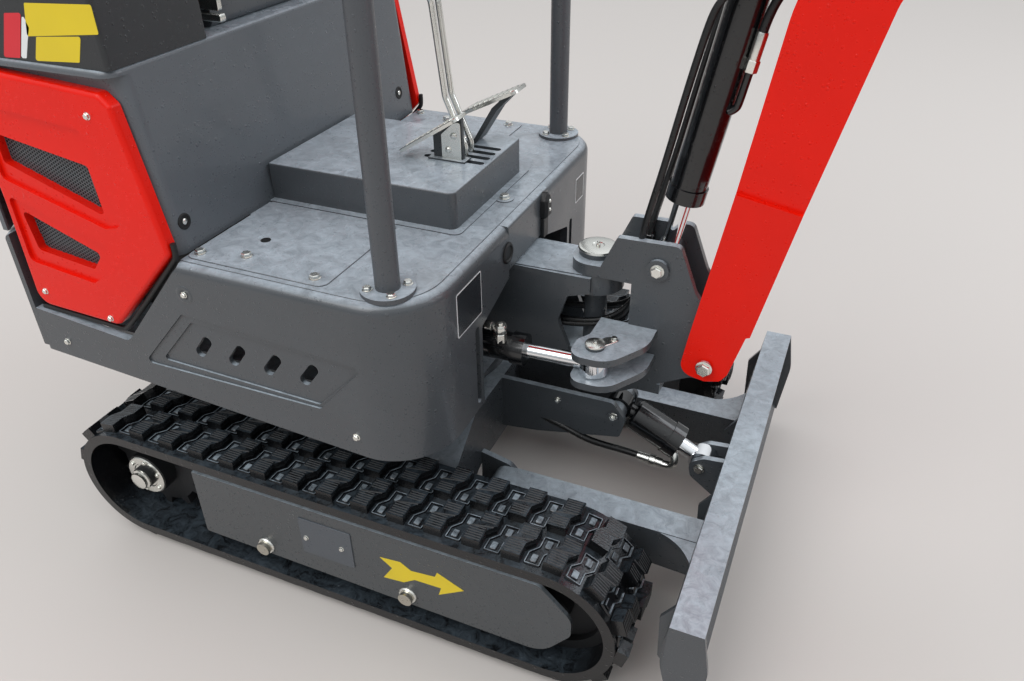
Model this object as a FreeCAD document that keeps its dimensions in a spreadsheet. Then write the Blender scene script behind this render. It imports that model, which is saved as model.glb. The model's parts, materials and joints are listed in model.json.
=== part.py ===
import FreeCAD, Part
import math
import os

# Mini excavator: rubber tracks, dozer blade, slewing house with canopy, swinging boom, arm and bucket.
# Millimetres. +X forward to the blade, +Y left, +Z up, ground at Z 0, slew axis through the origin.

Vec = FreeCAD.Vector
doc = FreeCAD.newDocument("MiniExcavator")
sheet = doc.addObject("Spreadsheet::Sheet", "Sizes")

# Driving sizes: name, value in millimetres or degrees
SIZES = [
    # Tracks
    ("trackBase", 910.0),
    ("trackBend", 129.5),
    ("lugRise", 19.0),
    ("beltWall", 20.0),
    ("trackWide", 180.0),
    ("overWide", 930.0),
    ("trackLinks", 36.0),
    ("beltEdge", 12.0),
    ("lugLong", 34.0),
    ("lugStep", 13.0),
    ("beltGap", 0.4),
    # Track frames
    ("plateWall", 8.0),
    ("plateInset", 8.0),
    ("frameLow", 81.0),
    ("frameTop", 240.0),
    ("rearReach", 169.0),
    ("noseReach", 49.0),
    ("rollerRadius", 60.0),
    ("rollerRear", -134.0),
    ("rollerFront", 185.0),
    ("rollerWide", 96.0),
    ("idlerWide", 70.0),
    ("axleRadius", 14.0),
    ("sprocketTeeth", 11.0),
    ("sprocketWide", 34.0),
    ("motorRadius", 62.0),
    ("motorLong", 150.0),
    ("hubRadius", 48.0),
    # Centre frame and slew ring
    ("legLong", 100.0),
    ("legPlace", 150.0),
    ("centreLow", 185.0),
    ("centreTop", 330.0),
    ("legSlope", 118.0),
    ("ringRadius", 165.0),
    ("ringLow", 345.0),
    ("ringTop", 400.0),
    ("ringGap", 0.3),
    # Dozer blade
    ("bladeWide", 926.0),
    ("bladeLow", 40.0),
    ("bladeTop", 253.0),
    ("bladeReach", 212.0),
    ("bladeDeep", 56.0),
    ("bladeWall", 8.0),
    ("bladePivotX", 262.0),
    ("bladePivotZ", 165.0),
    ("armInset", 95.0),
    ("noseGap", 38.5),
    ("armWide", 60.0),
    ("armTop", 200.0),
    ("armLow", 128.0),
    ("pinRadius", 12.5),
    ("pinPlay", 0.05),
    ("sideGap", 1.5),
    ("earWall", 12.0),
    ("eyeRadius", 26.0),
    ("eyeWide", 34.0),
    ("rodShort", 26.0),
    ("rodShare", 0.5),
    ("bladeSlack", 5.5),
    ("swingClosed", 490.0),
    ("boomClosed", 474.0),
    ("armClosed", 455.0),
    ("bucketClosed", 380.0),
    ("pipeRadius", 8.0),
    ("pipeFrom", 250.0),
    # House
    ("houseHalf", 435.0),
    ("houseFront", 240.0),
    ("tailRadius", 750.0),
    ("tailFlat", -701.0),
    ("tailStep", 12.0),
    ("cornerRound", 120.0),
    ("skirtWall", 16.0),
    ("skirtLowFront", 396.0),
    ("skirtLowRear", 446.0),
    ("deckTop", 700.0),
    ("deckWall", 8.0),
    ("seatGap", 0.3),
    ("edgeRound", 18.0),
    ("wrapEnd", 216.0),
    ("bandEnd", 96.0),
    ("bandLow", 598.0),
    ("flangeHalf", 225.0),
    ("recessDeep", 7.0),
    ("hoodFront", -222.0),
    ("hoodTop", 1008.0),
    ("hoodLean", 30.0),
    ("hoodWall", 10.0),
    ("coverWall", 22.0),
    ("coverRear", -588.0),
    ("doorWall", 12.0),
    ("doorLow", 692.0),
    ("doorTop", 954.0),
    ("engineRear", -650.0),
    ("engineFront", -290.0),
    ("engineHalf", 190.0),
    ("meshLow", 634.0),
    ("meshTop", 886.0),
    ("meshRise", 20.0),
    ("hingeX", -630.0),
    ("hingeY", 385.0),
    ("hingePin", 5.0),
    # Swing post and bracket
    ("swingX", 378.0),
    ("postRadius", 52.0),
    ("postTop", 608.0),
    ("postLow", 407.0),
    ("postLug", 40.0),
    ("postHalf", 60.0),
    ("swingPin", 22.0),
    ("boomFootX", 608.0),
    ("boomFootZ", 478.0),
    ("rodFootX", 505.0),
    ("rodFootZ", 648.0),
    ("bracketHalf", 54.0),
    ("bracketWall", 14.0),
    ("swingRodX", 427.0),
    ("swingRodY", -150.0),
    ("swingRodZ", 491.0),
    ("swingEar", 14.0),
    ("swingGap", 40.0),
    ("swingBaseX", -138.0),
    ("swingBaseY", -178.0),
    # Boom, arm and bucket
    ("boomLean", 10.5),
    ("boomLower", 700.0),
    ("boomBend", 38.0),
    ("boomUpper", 640.0),
    ("boomFork", 12.0),
    ("noseSlot", 140.0),
    ("bossRadius", 34.0),
    ("roofSkin", 6.0),
    ("railRise", 26.0),
    ("armLong", 828.0),
    ("armLean", 15.0),
    ("armBeam", 84.0),
    ("bucketWide", 380.0),
    ("bucketWall", 8.0),
    ("leverUp", 159.0),
    ("leverOut", 85.0),
    ("rockerUp", 163.5),
    ("rockerOut", 12.0),
    ("tipUp", 106.6),
    ("tipOut", 113.2),
    ("linkDown", 56.2),
    ("linkOut", 100.3),
    ("bucketBaseDown", 180.0),
    ("bucketBaseOut", 78.0),
    ("shellLean", 34.4),
    ("bucketDeep", 350.0),
    ("bucketBack", 235.0),
    ("toothLong", 62.0),
    # Canopy and seat
    ("postPlaceX", 157.0),
    ("postPlaceY", 374.0),
    ("postRearX", -600.0),
    ("tubeRadius", 20.0),
    ("flangeRadius", 44.0),
    ("flangeWall", 8.0),
    ("roofLow", 2150.0),
    ("roofWall", 46.0),
    ("roofHalf", 430.0),
    ("stepTop", 772.0),
    ("stepFront", 162.0),
    ("stepHalf", 150.0),
    ("stepWall", 8.0),
    ("leverRadius", 5.5),
    ("slotStep", 25.3),
    ("slotPlace", 6.0),
    ("consoleInner", 205.0),
    ("consoleOuter", 424.0),
    ("cushionHalf", 195.0),
    ("seatHalf", 150.0),
]

size = {}
for row, (alias, value) in enumerate(SIZES, start=1):
    sheet.set("A%d" % row, alias)
    sheet.set("B%d" % row, str(value))
    sheet.setAlias("B%d" % row, alias)
    size[alias] = value
doc.recompute()


class Sizes:
    """The sheet's values, read by name."""

    def __getattr__(self, alias):
        return size[alias]


s = Sizes()
subParts = []
stamp = {"count": 0}


def newName(word):
    stamp["count"] += 1
    return "%s%03d" % (word, stamp["count"])


# Outlines


def roundedEdges(points):
    """Closed outline from (u, v) or (u, v, corner radius) points, in lines and arcs."""
    corners = [(Vec(p[0], p[1], 0), p[2] if len(p) > 2 else 0.0) for p in points]
    count = len(corners)
    legs = []
    for i, (corner, radius) in enumerate(corners):
        back = corners[i - 1][0] - corner
        ahead = corners[(i + 1) % count][0] - corner
        if radius == 0.0:
            legs.append((corner, corner, corner))
            continue
        turn = back.getAngle(ahead)
        if turn > math.pi - 0.002:
            legs.append((corner, corner, corner))
            continue
        cut = radius / math.tan(turn / 2)
        cut = min(cut, 0.499 * back.Length, 0.499 * ahead.Length)
        back.normalize()
        ahead.normalize()
        middle = back + ahead
        middle.normalize()
        fitted = cut * math.tan(turn / 2)
        reach = fitted / math.sin(turn / 2) - fitted
        legs.append((corner + back * cut, corner + middle * reach, corner + ahead * cut))
    edges = []
    for i in range(count):
        start, mid, end = legs[i]
        if start.distanceToPoint(end) > 1e-6:
            edges.append(Part.Arc(start, mid, end))
        after = legs[(i + 1) % count][0]
        if end.distanceToPoint(after) > 1e-6:
            edges.append(Part.LineSegment(end, after))
    return edges


def ring(u, v, radius):
    return [Part.Circle(Vec(u, v, 0), Vec(0, 0, 1), radius)]


def capsule(first, second, radiusA, radiusB):
    """Outline round two circles and their common tangents."""
    a = Vec(first[0], first[1], 0)
    b = Vec(second[0], second[1], 0)
    along = b - a
    gap = along.Length
    heading = math.atan2(along.y, along.x)
    tilt = math.acos((radiusA - radiusB) / gap)

    def spot(centre, radius, angle):
        return centre + Vec(math.cos(angle), math.sin(angle), 0) * radius

    aLeft = spot(a, radiusA, heading + tilt)
    aRight = spot(a, radiusA, heading - tilt)
    bLeft = spot(b, radiusB, heading + tilt)
    bRight = spot(b, radiusB, heading - tilt)
    return [
        Part.Arc(aLeft, spot(a, radiusA, heading + math.pi), aRight),
        Part.LineSegment(aRight, bRight),
        Part.Arc(bRight, spot(b, radiusB, heading), bLeft),
        Part.LineSegment(bLeft, aLeft),
    ]


# Features


def newBody(label):
    body = doc.addObject("PartDesign::Body", newName("Body"))
    body.Label = label
    subParts.append(body)
    return body


def newSketch(body, plane, edges, offset):
    """A sketch on one of the body's own planes, moved along its normal."""
    sketch = body.newObject("Sketcher::SketchObject", newName("Sketch"))
    base = [f for f in body.Origin.OriginFeatures if f.Role == plane][0]
    sketch.AttachmentSupport = [(base, "")]
    sketch.MapMode = "FlatFace"
    sketch.setExpression("AttachmentOffset.Base.z", offset)
    sketch.addGeometry(edges, False)
    return sketch


def pad(body, plane, edges, offset, length):
    """Solid from an outline: it starts at the offset and runs along the plane's normal."""
    sketch = newSketch(body, plane, edges, offset)
    feature = body.newObject("PartDesign::Pad", newName("Pad"))
    feature.Profile = sketch
    feature.setExpression("Length", length)
    body.Tip = feature
    return feature


def pocket(body, plane, edges, offset, length):
    """Cut from an outline: it starts at the offset and runs along the plane's normal."""
    sketch = newSketch(body, plane, edges, offset)
    feature = body.newObject("PartDesign::Pocket", newName("Pocket"))
    feature.Profile = sketch
    feature.Reversed = True
    feature.setExpression("Length", length)
    body.Tip = feature
    return feature


def sideSlab(body, edges, middle, wide):
    """Pad across Y, centred on the Y value, from an outline in X and Z."""
    return pad(body, "XZ_Plane", edges, "-(%s) - (%s) / 2" % (middle, wide), wide)


def sideCut(body, edges, middle, wide):
    return pocket(body, "XZ_Plane", edges, "-(%s) - (%s) / 2" % (middle, wide), wide)


def rotor(body, points, axis):
    """Revolved solid: the outline lies in the XZ plane and turns about the body's own axis."""
    sketch = newSketch(body, "XZ_Plane", roundedEdges(points), "0")
    feature = body.newObject("PartDesign::Revolution", newName("Revolution"))
    feature.Profile = sketch
    line = [f for f in body.Origin.OriginFeatures if f.Role == axis][0]
    feature.ReferenceAxis = (line, [""])
    feature.Angle = 360.0
    body.Tip = feature
    return feature


def lofted(body, low, high, lowAt, highAt):
    """Solid between two outlines on level planes."""
    first = newSketch(body, "XY_Plane", low, lowAt)
    second = newSketch(body, "XY_Plane", high, highAt)
    feature = body.newObject("PartDesign::AdditiveLoft", newName("Loft"))
    feature.Profile = first
    feature.Sections = [second]
    feature.Ruled = True
    body.Tip = feature
    return feature


def roundOff(body, radius, chosen):
    """Fillet on the edges of the body's last feature that a test chooses."""
    doc.recompute()
    base = body.Tip
    names = ["Edge%d" % i for i, edge in enumerate(base.Shape.Edges, start=1) if chosen(edge.BoundBox)]
    feature = body.newObject("PartDesign::Fillet", newName("Fillet"))
    feature.Base = (base, names)
    feature.setExpression("Radius", radius)
    body.Tip = feature
    return feature


def shapePart(label, shape):
    """A sub-part whose shape is worked out directly from the sheet's values."""
    feature = doc.addObject("Part::Feature", newName("Shape"))
    feature.Label = label
    feature.Shape = shape
    subParts.append(feature)
    return feature


def box(x0, x1, y0, y1, z0, z1):
    return Part.makeBox(x1 - x0, y1 - y0, z1 - z0, Vec(x0, y0, z0))


def barY(x, z, radius, y0, y1):
    return Part.makeCylinder(radius, y1 - y0, Vec(x, y0, z), Vec(0, 1, 0))


# Places worked out from the sizes
NEAR = 0.01
SIDES = (("right", -1), ("left", 1))
wheelZ = s.trackBend + s.lugRise
trackMiddle = (s.overWide - s.trackWide) / 2
beltInner = s.trackBend - s.beltWall
frameRear = s.rearReach - s.trackBase / 2
frameNose = s.noseReach + s.trackBase / 2
hoodSide = s.houseHalf - s.coverWall - s.seatGap
bladeRear = s.trackBase / 2 + s.bladeReach
tailSplit = s.tailStep - math.sqrt(s.tailRadius ** 2 - s.houseHalf ** 2)
ARM_PLACE = "(Sizes.overWide / 2 - Sizes.trackWide - Sizes.armInset)"


# Tracks


def stadium(radius):
    half = s.trackBase / 2
    return Part.Wire([
        Part.makeLine(Vec(-half, 0, wheelZ + radius), Vec(half, 0, wheelZ + radius)),
        Part.Arc(
            Vec(half, 0, wheelZ + radius), Vec(half + radius, 0, wheelZ), Vec(half, 0, wheelZ - radius)
        ).toShape(),
        Part.makeLine(Vec(half, 0, wheelZ - radius), Vec(-half, 0, wheelZ - radius)),
        Part.Arc(
            Vec(-half, 0, wheelZ - radius), Vec(-half - radius, 0, wheelZ), Vec(-half, 0, wheelZ + radius)
        ).toShape(),
    ])


def trackSpot(way):
    """Placement on the belt's outer face, at a distance along it from above the sprocket."""
    half = s.trackBase / 2
    bend = math.pi * s.trackBend
    way = way % (2 * s.trackBase + 2 * bend)
    if way < s.trackBase:
        return Vec(-half + way, 0, wheelZ + s.trackBend), 0.0
    way -= s.trackBase
    if way < bend:
        turn = way / s.trackBend
        return Vec(half + s.trackBend * math.sin(turn), 0, wheelZ + s.trackBend * math.cos(turn)), turn
    way -= bend
    if way < s.trackBase:
        return Vec(half - way, 0, wheelZ - s.trackBend), math.pi
    turn = math.pi + (way - s.trackBase) / s.trackBend
    return Vec(-half + s.trackBend * math.sin(turn), 0, wheelZ + s.trackBend * math.cos(turn)), turn


def lugSolid(side):
    """One hook-shaped lug on half the belt, standing on the XY plane; side 1 is the outer half."""
    near = 6.0
    far = s.trackWide / 2 - s.beltEdge
    middle = (near + far) / 2
    outline = [
        (-s.lugLong / 2, near),
        (s.lugLong / 2, near),
        (s.lugLong / 2, middle - 8),
        (s.lugLong / 2 + s.lugStep, middle + 8),
        (s.lugLong / 2 + s.lugStep, far),
        (-s.lugLong / 2 + s.lugStep, far),
        (-s.lugLong / 2 + s.lugStep, middle + 8),
        (-s.lugLong / 2, middle - 8),
    ]
    corners = [Vec(u * side, v * side, -2.0) for u, v in outline]
    face = Part.Face(Part.makePolygon(corners + corners[:1]))
    return face.extrude(Vec(0, 0, s.lugRise + 2.0))


def track(label, side):
    belt = Part.Face(stadium(s.trackBend)).cut(Part.Face(stadium(beltInner)))
    belt = belt.extrude(Vec(0, s.trackWide, 0))
    belt.translate(Vec(0, -s.trackWide / 2, 0))
    length = 2 * s.trackBase + 2 * math.pi * s.trackBend
    links = int(round(s.trackLinks))
    pitch = length / links
    lugs = []
    for link in range(links):
        for half in (1, -1):
            where, turn = trackSpot((link + 0.25 * half) * pitch)
            lug = lugSolid(half)
            lug.Placement = FreeCAD.Placement(where, FreeCAD.Rotation(Vec(0, 1, 0), math.degrees(turn)))
            lugs.append(lug)
    loop = belt.fuse(lugs)
    loop.translate(Vec(0, side * trackMiddle, 0))
    return shapePart(label, loop)


# Track frame: a channel open at the bottom, with the idler fork in front and the motor plate behind


def trackFrame(label, side):
    body = newBody(label)
    body.setExpression("Placement.Base.y", "%d * (Sizes.overWide - Sizes.trackWide) / 2" % side)
    noseRound = 60.0
    topEnd = s.trackBase / 2 - s.trackBend + 15
    outer = [
        (frameRear, s.frameTop, 6), (frameRear, s.frameLow, 6),
        (frameNose - 52, s.frameLow - 8, noseRound), (frameNose, s.frameLow + 60, 24),
        (frameNose, s.frameLow + 100, 30), (frameNose - 60, s.frameTop + 2, 20),
    ]
    outerAt = "%d * (Sizes.trackWide / 2 - Sizes.plateInset - Sizes.plateWall / 2)" % side
    innerAt = "-%s" % outerAt
    sideSlab(body, roundedEdges(outer), outerAt, "Sizes.plateWall")
    top = [
        (frameRear, s.frameTop - 10), (topEnd, s.frameTop - 10),
        (topEnd, s.frameTop), (frameRear, s.frameTop),
    ]
    sideSlab(body, roundedEdges(top), "0", "Sizes.trackWide - 2 * Sizes.plateInset")
    inner = [
        (-s.trackBase / 2 - s.motorRadius, wheelZ + s.motorRadius + 6, 50),
        (-s.trackBase / 2 - s.motorRadius, wheelZ - s.motorRadius, 50),
        (frameRear, s.frameLow), (frameNose - 52, s.frameLow - 8, noseRound),
        (frameNose, s.frameLow + 60, 24), (frameNose, s.frameLow + 100, 30),
        (frameNose - 60, s.frameTop + 2, 20), (frameRear, s.frameTop),
    ]
    sideSlab(body, roundedEdges(inner), innerAt, "Sizes.plateWall")
    motorHole = ring(-s.trackBase / 2, wheelZ, s.motorRadius - 8 + s.pinPlay)
    sideCut(body, motorHole, innerAt, "Sizes.plateWall + 4")
    for at in (s.rollerRear, s.rollerFront):
        bolts = ring(at, s.frameLow + 19, s.axleRadius)
        sideSlab(body, bolts, "%d * 7" % side, "Sizes.trackWide - 2 * Sizes.plateInset + 14")
    spindle = ring(s.trackBase / 2, wheelZ, s.axleRadius)
    sideSlab(body, spindle, "0", "Sizes.trackWide - 2 * Sizes.plateInset - Sizes.plateWall")
    return body


def trackWheels(label, side):
    """Two bottom rollers, grooved for the belt's guide blocks, and the front idler."""
    middle = side * trackMiddle
    axleZ = s.frameLow + 19
    half = s.rollerWide / 2
    solids = []
    for at in (s.rollerRear, s.rollerFront):
        roller = barY(at, axleZ, s.rollerRadius - s.beltGap, middle - half, middle - 16)
        roller = roller.fuse(barY(at, axleZ, s.rollerRadius - s.beltGap, middle + 16, middle + half))
        roller = roller.fuse(barY(at, axleZ, s.rollerRadius - 18, middle - half - 12, middle + half + 12))
        solids.append(roller.cut(barY(at, axleZ, s.axleRadius + s.pinPlay, middle - 90, middle + 90)))
    x = s.trackBase / 2
    half = s.idlerWide / 2
    radius = beltInner - s.beltGap
    rim = barY(x, wheelZ, radius, middle - half, middle + half)
    for face in (-1, 1):
        dish = barY(x, wheelZ, radius - 20, middle + face * half - 14, middle + face * half + 14)
        rim = rim.cut(dish)
    hub = barY(x, wheelZ, 34, middle - half - 12, middle + half + 12)
    solids.append(rim.fuse(hub).cut(barY(x, wheelZ, s.axleRadius + s.pinPlay, middle - 90, middle + 90)))
    return shapePart(label, Part.makeCompound(solids))


def drive(label, side):
    """Sprocket with its teeth, the outer hub and the motor that reaches inboard."""
    middle = side * trackMiddle
    x = -s.trackBase / 2
    root = beltInner - 18
    tip = beltInner - s.beltGap
    teeth = int(round(s.sprocketTeeth))
    points = []
    for tooth in range(teeth):
        for share, radius in ((0.0, root), (0.3, root), (0.42, tip), (0.62, tip), (0.74, root)):
            angle = 2 * math.pi * (tooth + share) / teeth
            points.append(Vec(x + radius * math.sin(angle), 0, wheelZ + radius * math.cos(angle)))
    face = Part.Face(Part.makePolygon(points + points[:1]))
    wheel = face.extrude(Vec(0, s.sprocketWide, 0))
    wheel.translate(Vec(0, middle - s.sprocketWide / 2, 0))
    outward = side * s.trackWide / 2
    inner = middle - side * (s.trackWide / 2 - s.plateInset - s.plateWall)
    hub = barY(x, wheelZ, s.hubRadius, *sorted((middle, middle + outward - side * 40)))
    nose = barY(x, wheelZ, s.hubRadius / 2, *sorted((middle, middle + outward - side * 26)))
    drum = barY(x, wheelZ, s.motorRadius, *sorted((inner, middle)))
    plate = side * (trackMiddle - s.trackWide / 2 + s.plateInset)
    neck = barY(x, wheelZ, s.motorRadius - 8, *sorted((inner, plate)))
    case = barY(x, wheelZ, s.motorRadius - 6, *sorted((plate, plate - side * s.motorLong * 0.4)))
    tail = barY(x, wheelZ, s.motorRadius - 22, *sorted((plate, plate - side * s.motorLong)))
    return shapePart(label, wheel.fuse([hub, nose, drum, neck, case, tail]))


# Centre frame: arched front and rear legs, a box between them, the ring seat and the blade brackets


def centreFrame(label):
    body = newBody(label)
    reach = trackMiddle - s.trackWide / 2 + s.plateInset
    half = reach - s.legSlope
    outline = [
        (-half, s.centreLow), (half, s.centreLow), (half, s.centreTop), (-half, s.centreTop),
    ]
    pad(body, "YZ_Plane", roundedEdges(outline), "-Sizes.legPlace - Sizes.legLong / 2",
        "2 * Sizes.legPlace + Sizes.legLong")
    arch = [
        (-reach, s.frameLow + 20), (-reach, s.frameTop), (-half, s.centreTop), (half, s.centreTop),
        (reach, s.frameTop), (reach, s.frameLow + 20), (reach - 60, s.frameLow + 20),
        (half, s.centreLow, 40), (-half, s.centreLow, 40), (-reach + 60, s.frameLow + 20),
    ]
    for place in ("-Sizes.legPlace", "Sizes.legPlace"):
        pad(body, "YZ_Plane", roundedEdges(arch), "%s - Sizes.legLong / 2" % place, "Sizes.legLong")
    pad(body, "XY_Plane", ring(0, 0, s.ringRadius + 12), "Sizes.centreTop", "Sizes.ringLow - Sizes.centreTop")
    bladeBracket(body)
    return body


def bladeBracket(body):
    """Ears with pins for the two blade arms, and the nose plates that carry the blade cylinder."""
    front = s.legPlace + s.legLong / 2
    for side in (-1, 1):
        for face in (-1, 1):
            ear = [
                (front, s.frameLow + 25), (s.bladePivotX, s.bladePivotZ - 34, 20),
                (s.bladePivotX + 34, s.bladePivotZ, 30), (s.bladePivotX, s.bladePivotZ + 36, 20),
                (front, s.bladePivotZ + 50),
            ]
            at = "%d * %s + %d * (Sizes.armWide / 2 + Sizes.sideGap + Sizes.earWall / 2)"
            sideSlab(body, roundedEdges(ear), at % (side, ARM_PLACE, face), "Sizes.earWall")
        nose = [
            (front, s.centreLow + 20), (front + 80, s.centreLow + 30, 30), (bladeBase[0] + 16, bladeBase[2] - 44, 8),
            (bladeBase[0] + 26, bladeBase[2], 20), (bladeBase[0] - 2, bladeBase[2] + 36, 14), (front, s.centreTop),
        ]
        sideSlab(body, roundedEdges(nose), "%d * (Sizes.noseGap + Sizes.earWall / 2)" % side, "Sizes.earWall")
        face = "Sizes.eyeWide / 2 + Sizes.sideGap"
        sideSlab(body, ring(bladeBase[0], bladeBase[2], s.pinRadius + 8),
                 "%d * (Sizes.noseGap + %s) / 2" % (side, face), "Sizes.noseGap - (%s)" % face)
        pin = ring(s.bladePivotX, s.bladePivotZ, s.pinRadius)
        sideSlab(body, pin, "%d * %s" % (side, ARM_PLACE),
                 "Sizes.armWide + 2 * Sizes.sideGap + 2 * Sizes.earWall + 8")
    sideSlab(body, ring(bladeBase[0], bladeBase[2], s.pinRadius), "0", "2 * (Sizes.noseGap + Sizes.earWall) + 8")


# Hydraulic cylinders: each is drawn along +X from its own pin and then put in place


def heading(x, y, z, toX, toY, toZ):
    """Placement at a point, with local X towards another and local Y kept level."""
    along = Vec(toX - x, toY - y, toZ - z)
    along.normalize()
    level = Vec(0, 0, 1).cross(along)
    level.normalize()
    upward = along.cross(level)
    turn = FreeCAD.Rotation(along, level, upward, "ZXY")
    return FreeCAD.Placement(Vec(x, y, z), turn)


def eye(body, x, bore):
    """A pin eye across local Y."""
    sideSlab(body, ring(x, 0, s.eyeRadius), "0", "Sizes.eyeWide")
    sideCut(body, ring(x, 0, bore), "0", "2 * Sizes.eyeWide")


def barrel(label, start, finish, closed, radius, upright):
    """Tube with its pin eye at the start, an open mouth for the rod and an oil pipe along its flank."""
    body = newBody(label)
    mouth = closed - s.eyeRadius - 26
    boreRadius = radius - 8
    rodRadius = radius * s.rodShare
    tube = [
        (s.eyeRadius - 6, 0), (s.eyeRadius - 6, 15), (s.eyeRadius + 6, 15), (s.eyeRadius + 6, radius - 4),
        (s.eyeRadius + 10, radius),
        (mouth - 26, radius), (mouth - 26, radius + 3), (mouth, radius + 3),
        (mouth, rodRadius + 0.3), (mouth - 24, rodRadius + 0.3), (mouth - 24, boreRadius),
        (s.eyeRadius + 18, boreRadius), (s.eyeRadius + 18, 0),
    ]
    rotor(body, tube, "X_Axis")
    if mouth > s.pipeFrom:
        pipe = ring(-radius * 0.7 - 4, radius * 0.7 + 4, s.pipeRadius)
        pad(body, "YZ_Plane", pipe, "Sizes.eyeRadius + 14", str(mouth - s.eyeRadius - 50))
        block = ring(-radius * 0.7, radius * 0.7, s.pipeRadius + 4)
        pad(body, "YZ_Plane", block, "Sizes.eyeRadius + 14", "22")
        pad(body, "YZ_Plane", block, str(mouth - 58), "22")
    if upright:
        pad(body, "XY_Plane", ring(0, 0, s.eyeRadius), "-Sizes.eyeWide / 2", "Sizes.eyeWide")
        pocket(body, "XY_Plane", ring(0, 0, s.pinRadius + s.pinPlay), "-Sizes.eyeWide", "2 * Sizes.eyeWide")
    else:
        eye(body, 0, s.pinRadius + s.pinPlay)
    body.Placement = heading(*(start + finish))
    return body


def rod(label, start, finish, closed, radius, upright):
    """Chromed rod with its eye at the far pin; local X points back into the tube."""
    body = newBody(label)
    end = closed - s.eyeRadius - s.rodShort
    shaft = [
        (s.eyeRadius - 6, 0), (s.eyeRadius - 6, radius * s.rodShare), (end, radius * s.rodShare), (end, 0),
    ]
    rotor(body, shaft, "X_Axis")
    if upright:
        pad(body, "XY_Plane", ring(0, 0, s.eyeRadius), "-Sizes.eyeWide / 2", "Sizes.eyeWide")
        pocket(body, "XY_Plane", ring(0, 0, s.pinRadius + s.pinPlay), "-Sizes.eyeWide", "2 * Sizes.eyeWide")
    else:
        eye(body, 0, s.pinRadius + s.pinPlay)
    body.Placement = heading(*(finish + start))
    return body


def cylinder(name, start, finish, closed, radius, upright=False):
    barrel(name + "_cylinder_barrel", start, finish, closed, radius, upright)
    rod(name + "_cylinder_rod", start, finish, closed, radius, upright)


# Dozer blade: a curved plate with end plates, on two arms that turn on the frame's pins


def dozerBlade(label):
    body = newBody(label)
    rear = bladeRear
    front = bladeRear + s.bladeDeep
    middle = (s.bladeLow + s.bladeTop) / 2
    section = [
        (rear, s.bladeTop), (front, s.bladeTop), (front, s.bladeTop - 8), (rear + 4, middle, 260),
        (front - 4, s.bladeLow + 6), (front - 4, s.bladeLow), (front - 26, s.bladeLow), (rear - 16, middle, 260),
    ]
    sideSlab(body, roundedEdges(section), "0", "Sizes.bladeWide - 2 * Sizes.bladeWall")
    plate = [
        (rear, s.bladeTop), (front, s.bladeTop), (front + 14, middle + 20, 90), (front, s.bladeLow),
        (front - 34, s.bladeLow), (rear - 6, middle, 90),
    ]
    rib = [
        (rear + 6, s.bladeTop - 4), (rear + 6, s.bladeLow + 44), (rear - 22, s.bladeLow + 60, 12),
        (rear - 26, s.armTop),
    ]
    arm = [
        (s.bladePivotX - 30, s.bladePivotZ - 30, 28), (rear + 2, s.armLow - 20, 4), (rear + 2, s.armTop, 4),
        (s.bladePivotX + 30, s.armTop, 10), (s.bladePivotX - 30, s.bladePivotZ + 30, 28),
    ]
    lug = [
        (rear + 2, bladeRod[2] - 74), (rear + 2, bladeRod[2] + 30), (bladeRod[0] + 6, bladeRod[2] + 26, 20),
        (bladeRod[0] - 24, bladeRod[2] + 6, 20), (bladeRod[0] - 16, bladeRod[2] - 26, 16),
    ]
    for side in (-1, 1):
        sideSlab(body, roundedEdges(plate), "%d * (Sizes.bladeWide - Sizes.bladeWall) / 2" % side,
                 "Sizes.bladeWall")
        sideSlab(body, roundedEdges(arm), "%d * %s" % (side, ARM_PLACE), "Sizes.armWide")
        sideCut(body, ring(s.bladePivotX, s.bladePivotZ, s.pinRadius + s.pinPlay),
                "%d * %s" % (side, ARM_PLACE), "Sizes.armWide + 8")
        sideSlab(body, roundedEdges(lug), "%d * (Sizes.eyeWide / 2 + Sizes.sideGap + Sizes.earWall / 2)" % side,
                 "Sizes.earWall")
        for place in ("Sizes.bladeWide / 2 - 60", "Sizes.bladeWide / 4 - 110"):
            sideSlab(body, roundedEdges(rib), "%d * (%s)" % (side, place), "Sizes.bladeWall")
        outer = side * (s.overWide / 2 - s.trackWide - s.armInset + s.armWide / 2)
        web = [
            Vec(rear + 2, outer, 0), Vec(rear - 76, outer, 0), Vec(rear - 28, outer + side * 26, 0),
            Vec(rear + 2, outer + side * 84, 0),
        ]
        curve = [
            Part.LineSegment(web[3], web[0]), Part.LineSegment(web[0], web[1]), Part.Arc(web[1], web[2], web[3]),
        ]
        pad(body, "XY_Plane", curve, "Sizes.armTop - 12", "10")
    return body


# House: bottom plate, webs and swing post; skirts, deck, hood and covers round them


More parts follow.
